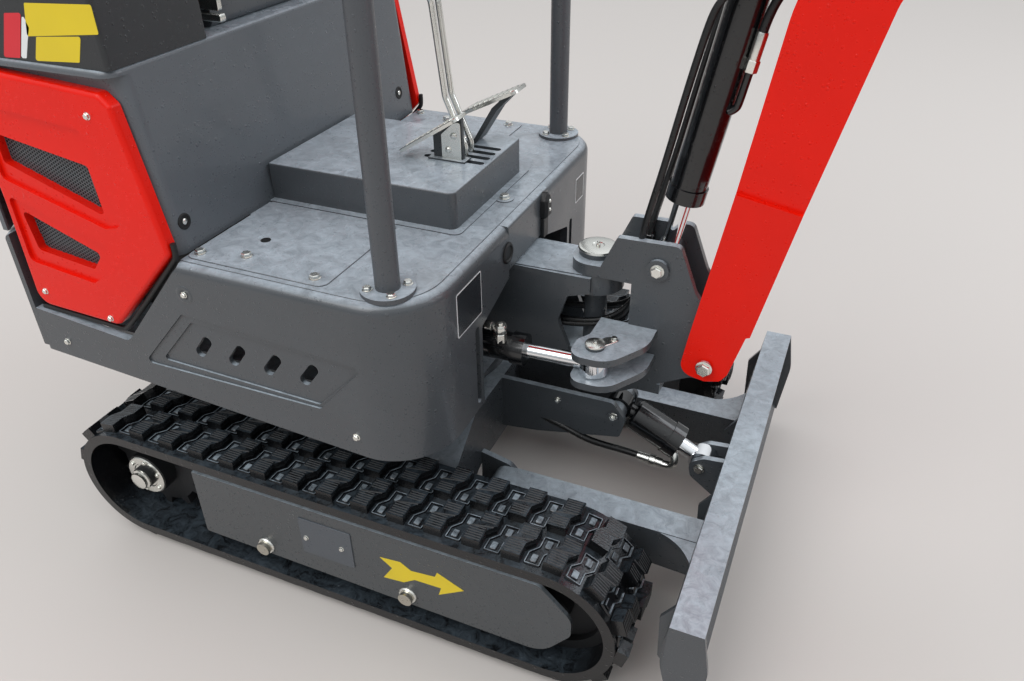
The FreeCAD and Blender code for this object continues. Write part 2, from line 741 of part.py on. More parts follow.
def houseFrame(label):
    body = newBody(label)
    rearEdge = s.tailFlat + s.seatGap
    floor = [
        (rearEdge, -200), (tailSplit, -300, 60), (s.houseFront - 30, -300, 80), (s.houseFront - 30, 300, 80),
        (tailSplit, 300, 60), (rearEdge, 200),
    ]
    pad(body, "XY_Plane", roundedEdges(floor), "Sizes.ringTop", "12")
    bulkhead = [
        (rearEdge, s.ringTop + 6), (rearEdge + 12, s.ringTop + 6), (rearEdge + 12, s.skirtLowRear + 200),
        (rearEdge, s.skirtLowRear + 200),
    ]
    sideSlab(body, roundedEdges(bulkhead), "0", "400")
    webTop = s.postTop - 2
    deckLow = s.deckTop - s.deckWall - s.seatGap
    web = [
        (s.hoodFront, s.ringTop + 6), (s.swingX - 28, s.postLow), (s.swingX - 28, s.postLow + 30),
        (s.swingX - 55, s.postLow + 98, 12), (s.swingX - 37, s.postTop - 47, 4), (s.swingX + 6, s.postTop - 33, 4),
        (s.swingX + 6, webTop), (s.houseFront - 24, webTop), (s.houseFront - 60, deckLow), (s.hoodFront, deckLow),
    ]
    for side in (-1, 1):
        sideSlab(body, roundedEdges(web), "%d * (Sizes.postHalf - Sizes.earWall / 2)" % side, "Sizes.earWall")
    for low in ("Sizes.postTop - Sizes.postLug", "Sizes.postLow"):
        lug = capsule((s.houseFront - 80, 0), (s.swingX, 0), s.postHalf, s.postRadius)
        pad(body, "XY_Plane", lug, low, "Sizes.postLug")
    pocket(body, "XY_Plane", ring(s.swingX, 0, s.swingPin + s.pinPlay), "Sizes.postLow - 5",
           "Sizes.postTop - Sizes.postLow + 10")
    for side in (-1, 1):
        ear = capsule((s.swingBaseX, s.swingBaseY), (s.swingBaseX, -s.postHalf + 4), 26, 25.9)
        at = "Sizes.swingRodZ + %d * (Sizes.eyeWide / 2 + Sizes.sideGap) + %d * Sizes.earWall"
        pad(body, "XY_Plane", ear, at % (side, -1 if side < 0 else 0), "Sizes.earWall")
    pad(body, "XY_Plane", ring(s.swingBaseX, s.swingBaseY, s.pinRadius), "Sizes.swingRodZ - 36", "72")
    return body


def skirt(label, side):
    """Pressed side skirt: rounded top edge, slotted recess, and a wrap round the front corner."""
    body = newBody(label)
    half = s.houseHalf
    inner = s.skirtWall
    rear = tailSplit + s.seatGap
    lip = s.houseFront - 22
    outer = [
        (rear, side * half), (s.houseFront, side * half, s.cornerRound), (s.houseFront, side * s.bandEnd),
        (lip, side * s.bandEnd), (lip, side * s.flangeHalf), (rear, side * s.flangeHalf),
    ]
    pad(body, "XY_Plane", roundedEdges(outer), "Sizes.skirtLowFront", "Sizes.deckTop - Sizes.skirtLowFront")

    def topRim(span):
        onTop = span.ZMin > s.deckTop - NEAR
        atSide = side * (span.YMin + span.YMax) / 2 > s.houseHalf - s.cornerRound
        atFront = span.XMin > s.houseFront - s.cornerRound - NEAR and span.XMax > lip + NEAR
        square = span.YLength < NEAR and span.XMin > lip - 1
        return onTop and (atSide and span.XLength > NEAR or atFront) and not square

    roundOff(body, "Sizes.edgeRound", topRim)
    hollow = [
        (rear - 40, side * (half - inner)),
        (s.houseFront - inner, side * (half - inner), s.cornerRound - inner),
        (s.houseFront - inner, side * (s.bandEnd - 10)), (rear - 40, side * (s.bandEnd - 10)),
    ]
    pocket(body, "XY_Plane", roundedEdges(hollow), "Sizes.skirtLowFront - 5",
           "Sizes.deckTop - Sizes.skirtLowFront - Sizes.deckWall + 5")
    above = [
        (s.hoodFront + 8, s.deckTop + 20), (s.hoodFront + 8, s.deckTop - 6, 6),
        (s.hoodFront - 150, 512, 20), (rear - 60, 536), (rear - 60, s.deckTop + 20),
    ]
    sideCut(body, roundedEdges(above), "%d * Sizes.houseHalf" % side, "900")
    below = [
        (s.houseFront - 100, s.skirtLowFront - 20), (s.houseFront - 100, s.skirtLowFront),
        (-s.tailRadius, s.skirtLowRear), (-s.tailRadius, s.skirtLowFront - 20),
    ]
    sideCut(body, roundedEdges(below), "%d * Sizes.houseHalf" % side, "900")
    step = [
        (side * (s.bandEnd - 20), s.bandLow + 6), (side * s.wrapEnd, s.bandLow - 36, 8),
        (side * s.wrapEnd, s.skirtLowFront - 20), (side * (s.bandEnd - 20), s.skirtLowFront - 20),
    ]
    pocket(body, "YZ_Plane", roundedEdges(step), "Sizes.houseFront - 60", "80")
    tallSlot = capsule((side * (s.wrapEnd + 20), 418), (side * (s.wrapEnd + 20), 564), 8, 7.9)
    pocket(body, "YZ_Plane", tallSlot, "Sizes.houseFront - 60", "80")
    at = "%d * Sizes.houseHalf" % side
    rim = [(-345, 474, 8), (-226, 603, 8), (133, 583, 8), (38, 477, 8)]
    sideCut(body, roundedEdges(rim), at, "Sizes.recessDeep")
    field = [(-302, 489, 6), (-212, 588, 6), (127, 577, 6), (35, 483, 6)]
    sideCut(body, roundedEdges(field), at, "2 * Sizes.recessDeep")
    for x in (-200, -128, -54, 20):
        slot = capsule((x - 10, 525), (x + 10, 551), 10, 9.9)
        sideCut(body, slot, at, "80")
    return body


def deck(label):
    """Floor plate between the skirts' flanges, with its front wall above the swing post."""
    body = newBody(label)
    edge = s.flangeHalf - s.seatGap
    band = s.bandEnd - s.seatGap
    lip = s.houseFront - 22 - s.seatGap
    plate = [
        (s.hoodFront - 60, -edge), (lip, -edge), (lip, -band), (s.houseFront, -band), (s.houseFront, band),
        (lip, band), (lip, edge), (s.hoodFront - 60, edge),
    ]
    pad(body, "XY_Plane", roundedEdges(plate), "Sizes.deckTop - Sizes.deckWall", "Sizes.deckWall")
    wall = [(-band, s.postTop + 6), (band, s.postTop + 6), (band, s.deckTop - 2), (-band, s.deckTop - 2)]
    pad(body, "YZ_Plane", roundedEdges(wall), "Sizes.houseFront - 10", "10")
    roundOff(body, "Sizes.deckWall - 2",
             lambda span: span.ZMin > s.deckTop - NEAR and span.XMin > s.houseFront - NEAR)
    return body


def trimTail(body, low, high):
    """Cuts what stands outside the tail's circle."""
    half = s.houseHalf + 20
    rear = s.tailRadius + 60
    x = -math.sqrt(s.tailRadius ** 2 - half ** 2)
    edges = [
        Part.Arc(Vec(x, -half, 0), Vec(-s.tailRadius, 0, 0), Vec(x, half, 0)),
        Part.LineSegment(Vec(x, half, 0), Vec(-rear, half, 0)),
        Part.LineSegment(Vec(-rear, half, 0), Vec(-rear, -half, 0)),
        Part.LineSegment(Vec(-rear, -half, 0), Vec(x, -half, 0)),
    ]
    pocket(body, "XY_Plane", edges, low, "(%s) - (%s)" % (high, low))


def hood(label):
    """Grey engine box: top plate, leaning front wall with round corners, and round rear with the door's opening."""
    body = newBody(label)
    wall = s.hoodWall
    topFront = s.hoodFront - s.hoodLean
    topHalf = s.houseHalf - 5
    rear = -s.tailRadius - 10
    plate = [(rear, -topHalf), (topFront, -topHalf, 28), (topFront, topHalf, 28), (rear, topHalf)]
    pad(body, "XY_Plane", roundedEdges(plate), "Sizes.hoodTop - Sizes.hoodWall", "Sizes.hoodWall")
    block = [(rear, -topHalf), (tailSplit - 4, -topHalf), (tailSplit - 4, topHalf), (rear, topHalf)]
    pad(body, "XY_Plane", roundedEdges(block), "Sizes.doorLow - 2",
        "Sizes.hoodTop - Sizes.hoodWall - Sizes.doorLow + 3")
    trimTail(body, "Sizes.doorLow - 20", "Sizes.hoodTop + 20")
    roundOff(body, "Sizes.hoodWall - 3", lambda span: span.ZMin > s.hoodTop - NEAR)
    pocket(body, "XY_Plane", ring(0, 0, s.tailRadius - s.doorWall), "Sizes.doorLow - 10",
           "Sizes.hoodTop - Sizes.hoodWall - Sizes.doorLow + 10")
    opening = [
        (-s.hingeY - 20, s.doorLow - 20), (s.hingeY + 20, s.doorLow - 20), (s.hingeY + 20, s.doorTop + 6, 8),
        (-s.hingeY - 20, s.doorTop + 6, 8),
    ]
    pocket(body, "YZ_Plane", roundedEdges(opening), "-Sizes.tailRadius - 20", "200")

    def wrap(front):
        back = front - 60
        return roundedEdges([
            (front, -hoodSide, 28), (front, hoodSide, 28), (back, hoodSide), (back, hoodSide - wall),
            (front - wall, hoodSide - wall, 18), (front - wall, -hoodSide + wall, 18), (back, -hoodSide + wall),
            (back, -hoodSide),
        ])

    lofted(body, wrap(s.hoodFront), wrap(topFront), "Sizes.deckTop + Sizes.seatGap",
           "Sizes.hoodTop - Sizes.hoodWall + 1")
    seat = [
        (topFront - 40, s.hoodTop - 60), (tailSplit + 20, s.hoodTop - 60), (tailSplit - 8, s.hoodTop - wall + 1),
        (topFront - 40, s.hoodTop - wall + 1),
    ]
    for side in (-1, 1):
        sideSlab(body, roundedEdges(seat), str(side * (hoodSide - 5)), "10")
    return body


def sideCover(label, side):
    """Red pressed cover: rounded rim, two sunk fields and two slanted vents."""
    body = newBody(label)
    front = s.hoodFront
    outline = [
        (front - 59, s.hoodTop - 32, 14), (front - 39, s.hoodTop - 50, 8), (front + 3, s.deckTop + 15, 16),
        (front - 166, 540, 22), (s.coverRear + 6, 546, 30), (s.coverRear + 10, 757),
        (s.coverRear, s.hoodTop - 14, 30),
    ]
    at = "%d * (Sizes.houseHalf - Sizes.coverWall / 2)" % side
    sideSlab(body, roundedEdges(outline), at, "Sizes.coverWall")
    outside = s.houseHalf - NEAR
    roundOff(body, "8", lambda span: min(side * span.YMin, side * span.YMax) > outside)
    upperField = [(-556, 930, 14), (-334, 912, 20), (-308, 752, 14), (-346, 742, 8), (-560, 800, 14)]
    lowerField = [(-562, 768, 10), (-362, 706, 10), (-356, 664, 14), (-414, 624, 12), (-562, 640, 12)]
    for field in (upperField, lowerField):
        sideCut(body, roundedEdges(field), "%d * Sizes.houseHalf" % side, "12")
    upperVent = [(-548, 880, 8), (-352, 850, 8), (-345, 762, 8), (-548, 828, 8)]
    lowerVent = [(-548, 741, 8), (-382, 684, 8), (-410, 650, 8), (-537, 664, 8)]
    for vent in (upperVent, lowerVent):
        sideCut(body, roundedEdges(vent), at, "Sizes.coverWall + 10")
    return body


def ventMesh(label):
    """Mesh panels behind the openings of both covers."""
    outline = [
        (s.hoodFront - 112, s.meshTop), (s.hoodFront - 112, s.meshLow), (s.coverRear + 14, s.meshLow),
        (s.coverRear + 14, s.meshTop + s.meshRise),
    ]
    solids = []
    for side in (-1, 1):
        face = Part.Face(Part.Wire([e.toShape() for e in roundedEdges(outline)]))
        panel = face.extrude(Vec(0, 0, 4))
        panel.rotate(Vec(0, 0, 0), Vec(1, 0, 0), 90)
        panel.translate(Vec(0, side * (s.houseHalf - s.coverWall - 2) + 2, 0))
        solids.append(panel)
    return shapePart(label, Part.makeCompound(solids))


def rearShell(label):
    """Counterweight: the heavy round tail between the skirts, with the door's hinge pin."""
    body = newBody(label)
    rear = -s.tailRadius - 10
    outline = [
        (rear, -s.houseHalf), (tailSplit, -s.houseHalf), (tailSplit, 40 - s.houseHalf), (s.tailFlat, -235, 40),
        (s.tailFlat, 235, 40), (tailSplit, s.houseHalf - 40), (tailSplit, s.houseHalf), (rear, s.houseHalf),
    ]
    pad(body, "XY_Plane", roundedEdges(outline), "Sizes.skirtLowRear", "240")
    trimTail(body, "Sizes.skirtLowRear - 10", "Sizes.skirtLowRear + 260")
    top = s.skirtLowRear + 240
    roundOff(body, "14", lambda span: span.ZMin > top - NEAR and span.XMax < tailSplit - 4 and span.YLength > 500)
    pad(body, "XY_Plane", ring(s.hingeX, s.hingeY, s.hingePin), "Sizes.skirtLowRear + 230", "270")
    return body


def rearDoor(label):
    """Curved engine door in the tail with louvres, hinged at its left edge."""
    body = newBody(label)
    rear = -s.tailRadius - 10
    right = -s.hingeY - 14
    left = s.hingeY - 13
    block = [(rear, right), (tailSplit - 20, right), (tailSplit - 20, left), (rear, left)]
    pad(body, "XY_Plane", roundedEdges(block), "Sizes.doorLow", "Sizes.doorTop - Sizes.doorLow")
    trimTail(body, "Sizes.doorLow - 20", "Sizes.doorTop + 20")
    pocket(body, "XY_Plane", ring(0, 0, s.tailRadius - s.doorWall), "Sizes.doorLow - 10",
           "Sizes.doorTop - Sizes.doorLow + 20")
    for row in range(5):
        z = s.doorLow + 75 + 28 * row
        pocket(body, "YZ_Plane", capsule((-170, z), (170, z), 6, 5.9), "-Sizes.tailRadius - 20", "80")
    for low in (6, 186):
        pad(body, "XY_Plane", ring(s.hingeX, s.hingeY, s.hingePin + 11), "Sizes.doorLow + %d" % low, "60")
    pocket(body, "XY_Plane", ring(s.hingeX, s.hingeY, s.hingePin + s.pinPlay), "Sizes.doorLow - 10", "300")
    return body


def stepBox(label):
    """Hollow box under the operator's feet: slotted top, rounded corners and a bolted base flange."""
    body = newBody(label)
    rear = s.hoodFront + s.seatGap
    outline = [
        (rear, -s.stepHalf), (s.stepFront, -s.stepHalf, 14), (s.stepFront, s.stepHalf, 14), (rear, s.stepHalf),
    ]
    pad(body, "XY_Plane", roundedEdges(outline), "Sizes.deckTop + Sizes.seatGap",
        "Sizes.stepTop - Sizes.deckTop - Sizes.seatGap")
    roundOff(body, "4", lambda span: span.ZMin > s.stepTop - NEAR and span.XMax > rear + 1)
    flange = [
        (rear, -s.stepHalf - 15), (s.stepFront + 14, -s.stepHalf - 15, 14), (s.stepFront + 14, s.stepHalf + 15, 14),
        (rear, s.stepHalf + 15),
    ]
    pad(body, "XY_Plane", roundedEdges(flange), "Sizes.deckTop + Sizes.seatGap", "3")
    pad(body, "XY_Plane", ring(s.stepFront + 24, 10, 18), "Sizes.deckTop + Sizes.seatGap", "3")
    wall = s.stepWall
    hollow = [
        (rear + wall, wall - s.stepHalf), (s.stepFront - wall, wall - s.stepHalf, 8),
        (s.stepFront - wall, s.stepHalf - wall, 8), (rear + wall, s.stepHalf - wall),
    ]
    pocket(body, "XY_Plane", roundedEdges(hollow), "Sizes.deckTop - 5",
           "Sizes.stepTop - Sizes.deckTop - Sizes.stepWall + 5")
    for row in range(4):
        y = s.slotStep * row - s.slotPlace
        pocket(body, "XY_Plane", capsule((36, y), (146, y), 7, 6.9), "Sizes.stepTop - 20", "30")
    return body


def travelLevers(label):
    """Two bent rods that come up through the slots of the step, each with its grip."""
    solids = []
    for row, spread in ((1, -1), (2, 1)):
        y = s.slotStep * row - s.slotPlace
        gripY = y + spread * 70
        points = [
            Vec(104, y, s.deckTop + s.seatGap), Vec(103, y, s.stepTop + 20), Vec(66, y, s.stepTop + 107),
            Vec(48, y, s.stepTop + 277), Vec(44, gripY, s.stepTop + 340), Vec(40, gripY, s.stepTop + 400),
        ]
        lever = bentRod(points, s.leverRadius, 30.0)
        grip = Part.makeCylinder(15, 90, points[-1], points[-1] - points[-2])
        grip = grip.makeFillet(6, [e for e in grip.Edges if e.Closed])
        solids.append(lever.fuse(grip))
    return shapePart(label, Part.makeCompound(solids))


def bentRod(points, radius, bend):
    """Round rod along straight runs joined by tangent arcs."""
    edges = []
    last = points[0]
    for i in range(1, len(points) - 1):
        back = points[i - 1] - points[i]
        ahead = points[i + 1] - points[i]
        half = back.getAngle(ahead) / 2
        cut = min(bend / math.tan(half), 0.45 * back.Length, 0.45 * ahead.Length)
        back.normalize()
        ahead.normalize()
        middle = back + ahead
        middle.normalize()
        fitted = cut * math.tan(half)
        start = points[i] + back * cut
        end = points[i] + ahead * cut
        mid = points[i] + middle * (fitted / math.sin(half) - fitted)
        edges.append(Part.makeLine(last, start))
        edges.append(Part.Arc(start, mid, end).toShape())
        last = end
    edges.append(Part.makeLine(last, points[-1]))
    path = Part.Wire(edges)
    first = points[1] - points[0]
    circle = Part.Wire([Part.makeCircle(radius, points[0], first)])
    return path.makePipeShell([circle], True, False)


def uprightPlate(points, y0, y1):
    """Flat plate that stands along the machine, between two distances to the side."""
    face = Part.Face(Part.Wire([edge.toShape() for edge in roundedEdges(points)]))
    face.rotate(Vec(0, 0, 0), Vec(1, 0, 0), 90)
    face.translate(Vec(0, y0, 0))
    return face.extrude(Vec(0, y1 - y0, 0))


def footPlate(x, y, z, long, half, tilt):
    """Pedal plate with round corners, its toe end raised."""
    plate = box(-long / 2, long / 2, -half, half, -4, 0)
    plate = plate.makeFillet(10, [e for e in plate.Edges if e.BoundBox.ZLength > 3])
    plate.rotate(Vec(0, 0, 0), Vec(0, 1, 0), -tilt)
    plate.translate(Vec(x, y, z))
    return plate


def pedals(label):
    """Two inclined foot plates, one on an upright plate and one on a bent strip with a hole."""
    near = footPlate(53, -16, 824, 144, 24, 32)
    post = uprightPlate([(52, s.stepTop), (112, s.stepTop), (112, 858), (98, 850), (52, 822)], -10, -2)
    base = box(44, 120, -20, 8, s.stepTop, s.stepTop + 3)
    far = footPlate(127, 98, 861, 124, 28, 26)
    strip = uprightPlate([
        (52, s.stepTop), (96, s.stepTop, 20), (142, s.stepTop + 72, 16), (178, s.stepTop + 109),
        (164, s.stepTop + 106), (132, s.stepTop + 76, 16), (90, s.stepTop + 6, 16), (52, s.stepTop + 5),
    ], 78, 118)
    hole = Part.makeCylinder(7, 20, Vec(68, 98, s.stepTop - 5))
    return shapePart(label, Part.makeCompound([near.fuse([post, base]), far.fuse(strip.cut(hole))]))


def console(label, side):
    """Armrest console with its joystick: boot, stick and grip."""
    body = newBody(label)
    outline = [
        (-540, s.hoodTop + 0.5), (s.hoodFront - 32, s.hoodTop + 0.5), (s.hoodFront - 36, s.hoodTop + 140, 26),
        (s.hoodFront - 130, s.hoodTop + 165, 40), (-540, s.hoodTop + 190, 30),
    ]
    middle = "%d * (Sizes.consoleInner + Sizes.consoleOuter) / 2" % side
    sideSlab(body, roundedEdges(outline), middle, "Sizes.consoleOuter - Sizes.consoleInner")
    roundOff(body, "8", lambda span: span.YLength < NEAR and span.ZMax > s.hoodTop + 1)
    x = s.hoodFront - 96
    y = side * (s.consoleInner + s.consoleOuter) / 2
    lofted(body, ring(x, y, 36), ring(x, y, 13), "Sizes.hoodTop + 130", "Sizes.hoodTop + 190")
    pad(body, "XY_Plane", ring(x, y, 8), "Sizes.hoodTop + 180", "90")
    lofted(body, ring(x, y, 15), ring(x + 6, y, 21), "Sizes.hoodTop + 262", "Sizes.hoodTop + 360")
    return body


def seatPart(label, x0, x1, half, z0, z1, rounding):
    """A slab across the machine; half is the name of its half width."""
    body = newBody(label)
    outline = [(x0, z0, rounding), (x1, z0, rounding), (x1, z1, rounding), (x0, z1, rounding)]
    sideSlab(body, roundedEdges(outline), "0", "2 * Sizes.%s" % half)
    return body


def seatBack(label):
    body = newBody(label)
    outline = [
        (-500, s.hoodTop + 140 + s.seatGap, 12), (-420, s.hoodTop + 140 + s.seatGap, 12), (-500, s.hoodTop + 560, 30),
        (-570, s.hoodTop + 550, 30),
    ]
    sideSlab(body, roundedEdges(outline), "0", "2 * Sizes.cushionHalf")
    return body


def canopyFrame(label):
    body = newBody(label)
    x, y = s.postPlaceX, s.postPlaceY
    for side in (-1, 1):
        pad(body, "XY_Plane", ring(x, side * y, s.flangeRadius), "Sizes.deckTop", "Sizes.flangeWall")
        pad(body, "XY_Plane", ring(x, side * y, s.tubeRadius), "Sizes.deckTop", "Sizes.roofLow + Sizes.railRise - Sizes.deckTop")
        rearX = s.postRearX
        pad(body, "XY_Plane", ring(rearX, side * (y - 30), s.flangeRadius), "Sizes.hoodTop", "Sizes.flangeWall")
        pad(body, "XY_Plane", ring(rearX, side * (y - 30), s.tubeRadius), "Sizes.hoodTop",
            "Sizes.roofLow + Sizes.railRise - Sizes.hoodTop")
    rail = [
        (s.postRearX - 22, -y - 22, 30), (x + 22, -y - 22, 30), (x + 22, y + 22, 30), (s.postRearX - 22, y + 22, 30),
    ]
    hole = [
        (s.postRearX + 22, -y + 60, 20), (x - 22, -y + 60, 20), (x - 22, y - 60, 20),
        (s.postRearX + 22, y - 60, 20),
    ]
    pad(body, "XY_Plane", roundedEdges(rail), "Sizes.roofLow + Sizes.railRise - 20", "20")
    pocket(body, "XY_Plane", roundedEdges(hole), "Sizes.roofLow + Sizes.railRise - 30", "40")
    return body


def roof(label):
    """Canopy roof with a rounded rim and a raised middle panel."""
    body = newBody(label)
    rear, front, half = s.postRearX - 110, s.postPlaceX + 70, s.roofHalf
    outline = [(rear, -half, 60), (front, -half, 60), (front, half, 60), (rear, half, 60)]
    pad(body, "XY_Plane", roundedEdges(outline), "Sizes.roofLow", "Sizes.roofWall - 8")
    lidTop = s.roofLow + s.roofWall - 8
    roundOff(body, "20", lambda span: span.ZMin > lidTop - NEAR)
    rim = 12
    hollow = [
        (rear + rim, rim - half, 48), (front - rim, rim - half, 48), (front - rim, half - rim, 48),
        (rear + rim, half - rim, 48),
    ]
    pocket(body, "XY_Plane", roundedEdges(hollow), "Sizes.roofLow - 5",
           "Sizes.roofWall - 8 - Sizes.roofSkin + 5 - 6")
    panel = [
        (rear + 60, 60 - half, 40), (front - 60, 60 - half, 40), (front - 60, half - 60, 40),
        (rear + 60, half - 60, 40),
    ]
    pad(body, "XY_Plane", roundedEdges(panel), "Sizes.roofLow + Sizes.roofWall - 9", "9")
    return body


# Swing bracket: ears above and below the post, two side plates and the half-moon ears of its cylinder


def swingBracket(label):
    """Tongues above and below the post, two side plates, and the ears that the swing cylinder turns."""
    body = newBody(label)
    half = s.bracketHalf
    plate = [
        (s.swingX + 81, s.postTop + 5), (s.swingX + 22, s.postTop + 24), (s.swingX + 50, s.rodFootZ + 47, 6),
        (s.rodFootX + 35, s.rodFootZ + 49, 14), (s.boomFootX - 34, s.boomFootZ + 135, 20),
        (s.boomFootX + 42, s.boomFootZ + 30, 40), (s.boomFootX + 30, s.boomFootZ - 42, 36),
        (s.boomFootX - 25, s.boomFootZ - 39, 20), (s.swingX + 46, s.postLow - 53, 12),
        (s.swingX + 46, s.postLow - 2), (s.swingX + 81, s.postLow - 2),
    ]

    def tongue(reach):
        rear = s.swingX - 42
        return roundedEdges([(rear, -half, 40), (reach, -half), (reach, half), (rear, half, 40)])

    pad(body, "XY_Plane", tongue(s.swingX + 90), "Sizes.postTop + Sizes.sideGap", "22")
    pad(body, "XY_Plane", ring(s.swingX, 0, s.swingPin), "Sizes.postLow - 30",
        "Sizes.postTop - Sizes.postLow + 60")
    pad(body, "XY_Plane", ring(s.swingX, 0, s.swingPin + 13), "Sizes.postTop + 22", "11")
    pad(body, "XY_Plane", tongue(s.swingX + 150), "Sizes.postLow - Sizes.sideGap - 22", "22")
    for side in (-1, 1):
        sideSlab(body, roundedEdges(plate), "%d * (Sizes.bracketHalf - Sizes.bracketWall / 2)" % side,
                 "Sizes.bracketWall")
        face = "Sizes.eyeWide / 2 + Sizes.sideGap"
        inner = "(Sizes.bracketHalf + %s) / 2" % face
        wide = "Sizes.bracketHalf - (%s)" % face
        sideSlab(body, ring(s.rodFootX, s.rodFootZ, s.eyeRadius), "%d * (%s)" % (side, inner), wide)
        sideSlab(body, ring(s.rodFootX, s.rodFootZ, 20), "%d * (Sizes.bracketHalf + 3)" % side, "8")
    pin = ring(s.boomFootX, s.boomFootZ, s.pinRadius)
    sideSlab(body, pin, "0", "2 * (Sizes.bracketHalf + Sizes.sideGap + Sizes.boomFork) + 12")
    spine = [
        (s.swingX + 92, 8 - half), (s.swingX + 104, 8 - half), (s.swingX + 104, half - 8),
        (s.swingX + 92, half - 8),
    ]
    pad(body, "XY_Plane", roundedEdges(spine), "Sizes.postLow - 4", "120")
    ear = [
        (s.swingX + 28, 4 - half), (s.swingX + 27, -112, 10), (s.swingX + 11, -136, 20), (s.swingX + 11, -190, 34),
        (s.swingX + 84, -190, 50), (s.swingX + 135, -110, 80), (s.swingX + 135, 4 - half),
    ]
    for low in ("Sizes.swingRodZ + Sizes.swingGap / 2", "Sizes.swingRodZ - Sizes.swingGap / 2 - Sizes.swingEar"):
        pad(body, "XY_Plane", roundedEdges(ear), low, "Sizes.swingEar")
    pad(body, "XY_Plane", ring(s.swingRodX, s.swingRodY, 17), "Sizes.swingRodZ + Sizes.swingGap / 2 + 10", "10")
    return body


# Boom, arm and bucket


def alongLine(origin, lean, along, across):
    """Point from an origin: along a line that leans forward from the vertical, and forward across it."""
    angle = math.radians(lean)
    x = origin[0] + along * math.sin(angle) + across * math.cos(angle)
    z = origin[1] + along * math.cos(angle) - across * math.sin(angle)
    return (x, z)


foot = (s.boomFootX, s.boomFootZ)
upLean = s.boomLean + s.boomBend
elbow = alongLine(foot, s.boomLean, s.boomLower, 0)
armPivot = alongLine(elbow, upLean, s.boomUpper, 0)
boomTopPin = alongLine(foot, s.boomLean, 688, -131)
armBasePin = alongLine(elbow, upLean, 60, -115)
armDown = 180.0 - s.armLean
armTopPin = alongLine(armPivot, armDown, -s.leverUp, -s.leverOut)
bucketPin = alongLine(armPivot, armDown, s.armLong, 0)
bucketBasePin = alongLine(armPivot, armDown, s.bucketBaseDown, -s.bucketBaseOut)
rockerPin = alongLine(armPivot, armDown, s.armLong - s.rockerUp, -s.rockerOut)
rockerTip = alongLine(armPivot, armDown, s.armLong - s.tipUp, -s.tipOut)
linkPin = alongLine(armPivot, armDown, s.armLong + s.linkDown, -s.linkOut)
bladeBase = (441.0, 0.0, 297.0)
bladeRod = (bladeRear - 47.0, 0.0, 209.0)
bladeRest = math.hypot(bladeRod[0] - bladeBase[0], bladeRod[2] - bladeBase[2])


def boom(label):
    body = newBody(label)

    def low(along, across, radius=0.0):
        return alongLine(foot, s.boomLean, along, across) + (radius,)

    def high(along, across, radius=0.0):
        return alongLine(elbow, upLean, along, across) + (radius,)

    beam = [
        low(285, -49), low(625, -62, 200), high(40, -62, 120), high(s.boomUpper + 40, -44, 40),
        high(s.boomUpper + 40, 44, 40), high(90, 80, 260), low(674, 69, 70), low(285, 57),
    ]
    sideSlab(body, roundedEdges(beam), "0", "2 * (Sizes.bracketHalf + Sizes.sideGap) + 2")
    fork = [
        low(-31, -41, 34), low(41, -44, 20), low(330, -50), low(330, 58), low(90, 54), low(86, 48),
        low(0, 42, 16), low(-19, 34, 12), low(-31, 8, 10),
    ]
    for side in (-1, 1):
        at = "%d * (Sizes.bracketHalf + Sizes.sideGap + Sizes.boomFork / 2)" % side
        sideSlab(body, roundedEdges(fork), at, "Sizes.boomFork")
        sideCut(body, ring(foot[0], foot[1], s.pinRadius + s.pinPlay), at, "Sizes.boomFork + 8")
    nose = [
        high(s.boomUpper - s.noseSlot, -120), high(s.boomUpper + 90, -120), high(s.boomUpper + 90, 120),
        high(s.boomUpper - s.noseSlot, 120),
    ]
    sideCut(body, roundedEdges(nose), "0", "Sizes.armBeam - 8 + 2 * Sizes.sideGap")
    for side in (-1, 1):
        at = "%d * (Sizes.eyeWide / 2 + Sizes.sideGap + Sizes.earWall / 2)" % side
        rear = [low(656, -50), low(boomTopLocal[0] - 26, boomTopLocal[1], 20),
                low(boomTopLocal[0] + 10, boomTopLocal[1] - 26, 24), low(boomTopLocal[0] + 34, boomTopLocal[1], 24),
                high(20, -50)]
        sideSlab(body, roundedEdges(rear), at, "Sizes.earWall")
        sideSlab(body, ring(boomTopPin[0], boomTopPin[1], 20), "%d * (Sizes.eyeWide / 2 + 18)" % side, "12")
        top = [high(0, -50), high(36, -115, 20), high(60, -142, 24), high(84, -115, 20), high(90, -50)]
        sideSlab(body, roundedEdges(top), at, "Sizes.earWall")
    sideSlab(body, ring(boomTopPin[0], boomTopPin[1], s.pinRadius), "0", "Sizes.eyeWide + 30")
    sideSlab(body, ring(armBasePin[0], armBasePin[1], s.pinRadius), "0", "Sizes.eyeWide + 40")
    for side in (-1, 1):
        sideSlab(body, ring(armPivot[0], armPivot[1], s.bossRadius),
                 "%d * (Sizes.bracketHalf + Sizes.sideGap + 4)" % side, "8")
    sideSlab(body, ring(armPivot[0], armPivot[1], s.pinRadius), "0",
             "2 * (Sizes.bracketHalf + Sizes.sideGap) + 24")
    return body


boomTopLocal = (688.0, -131.0)


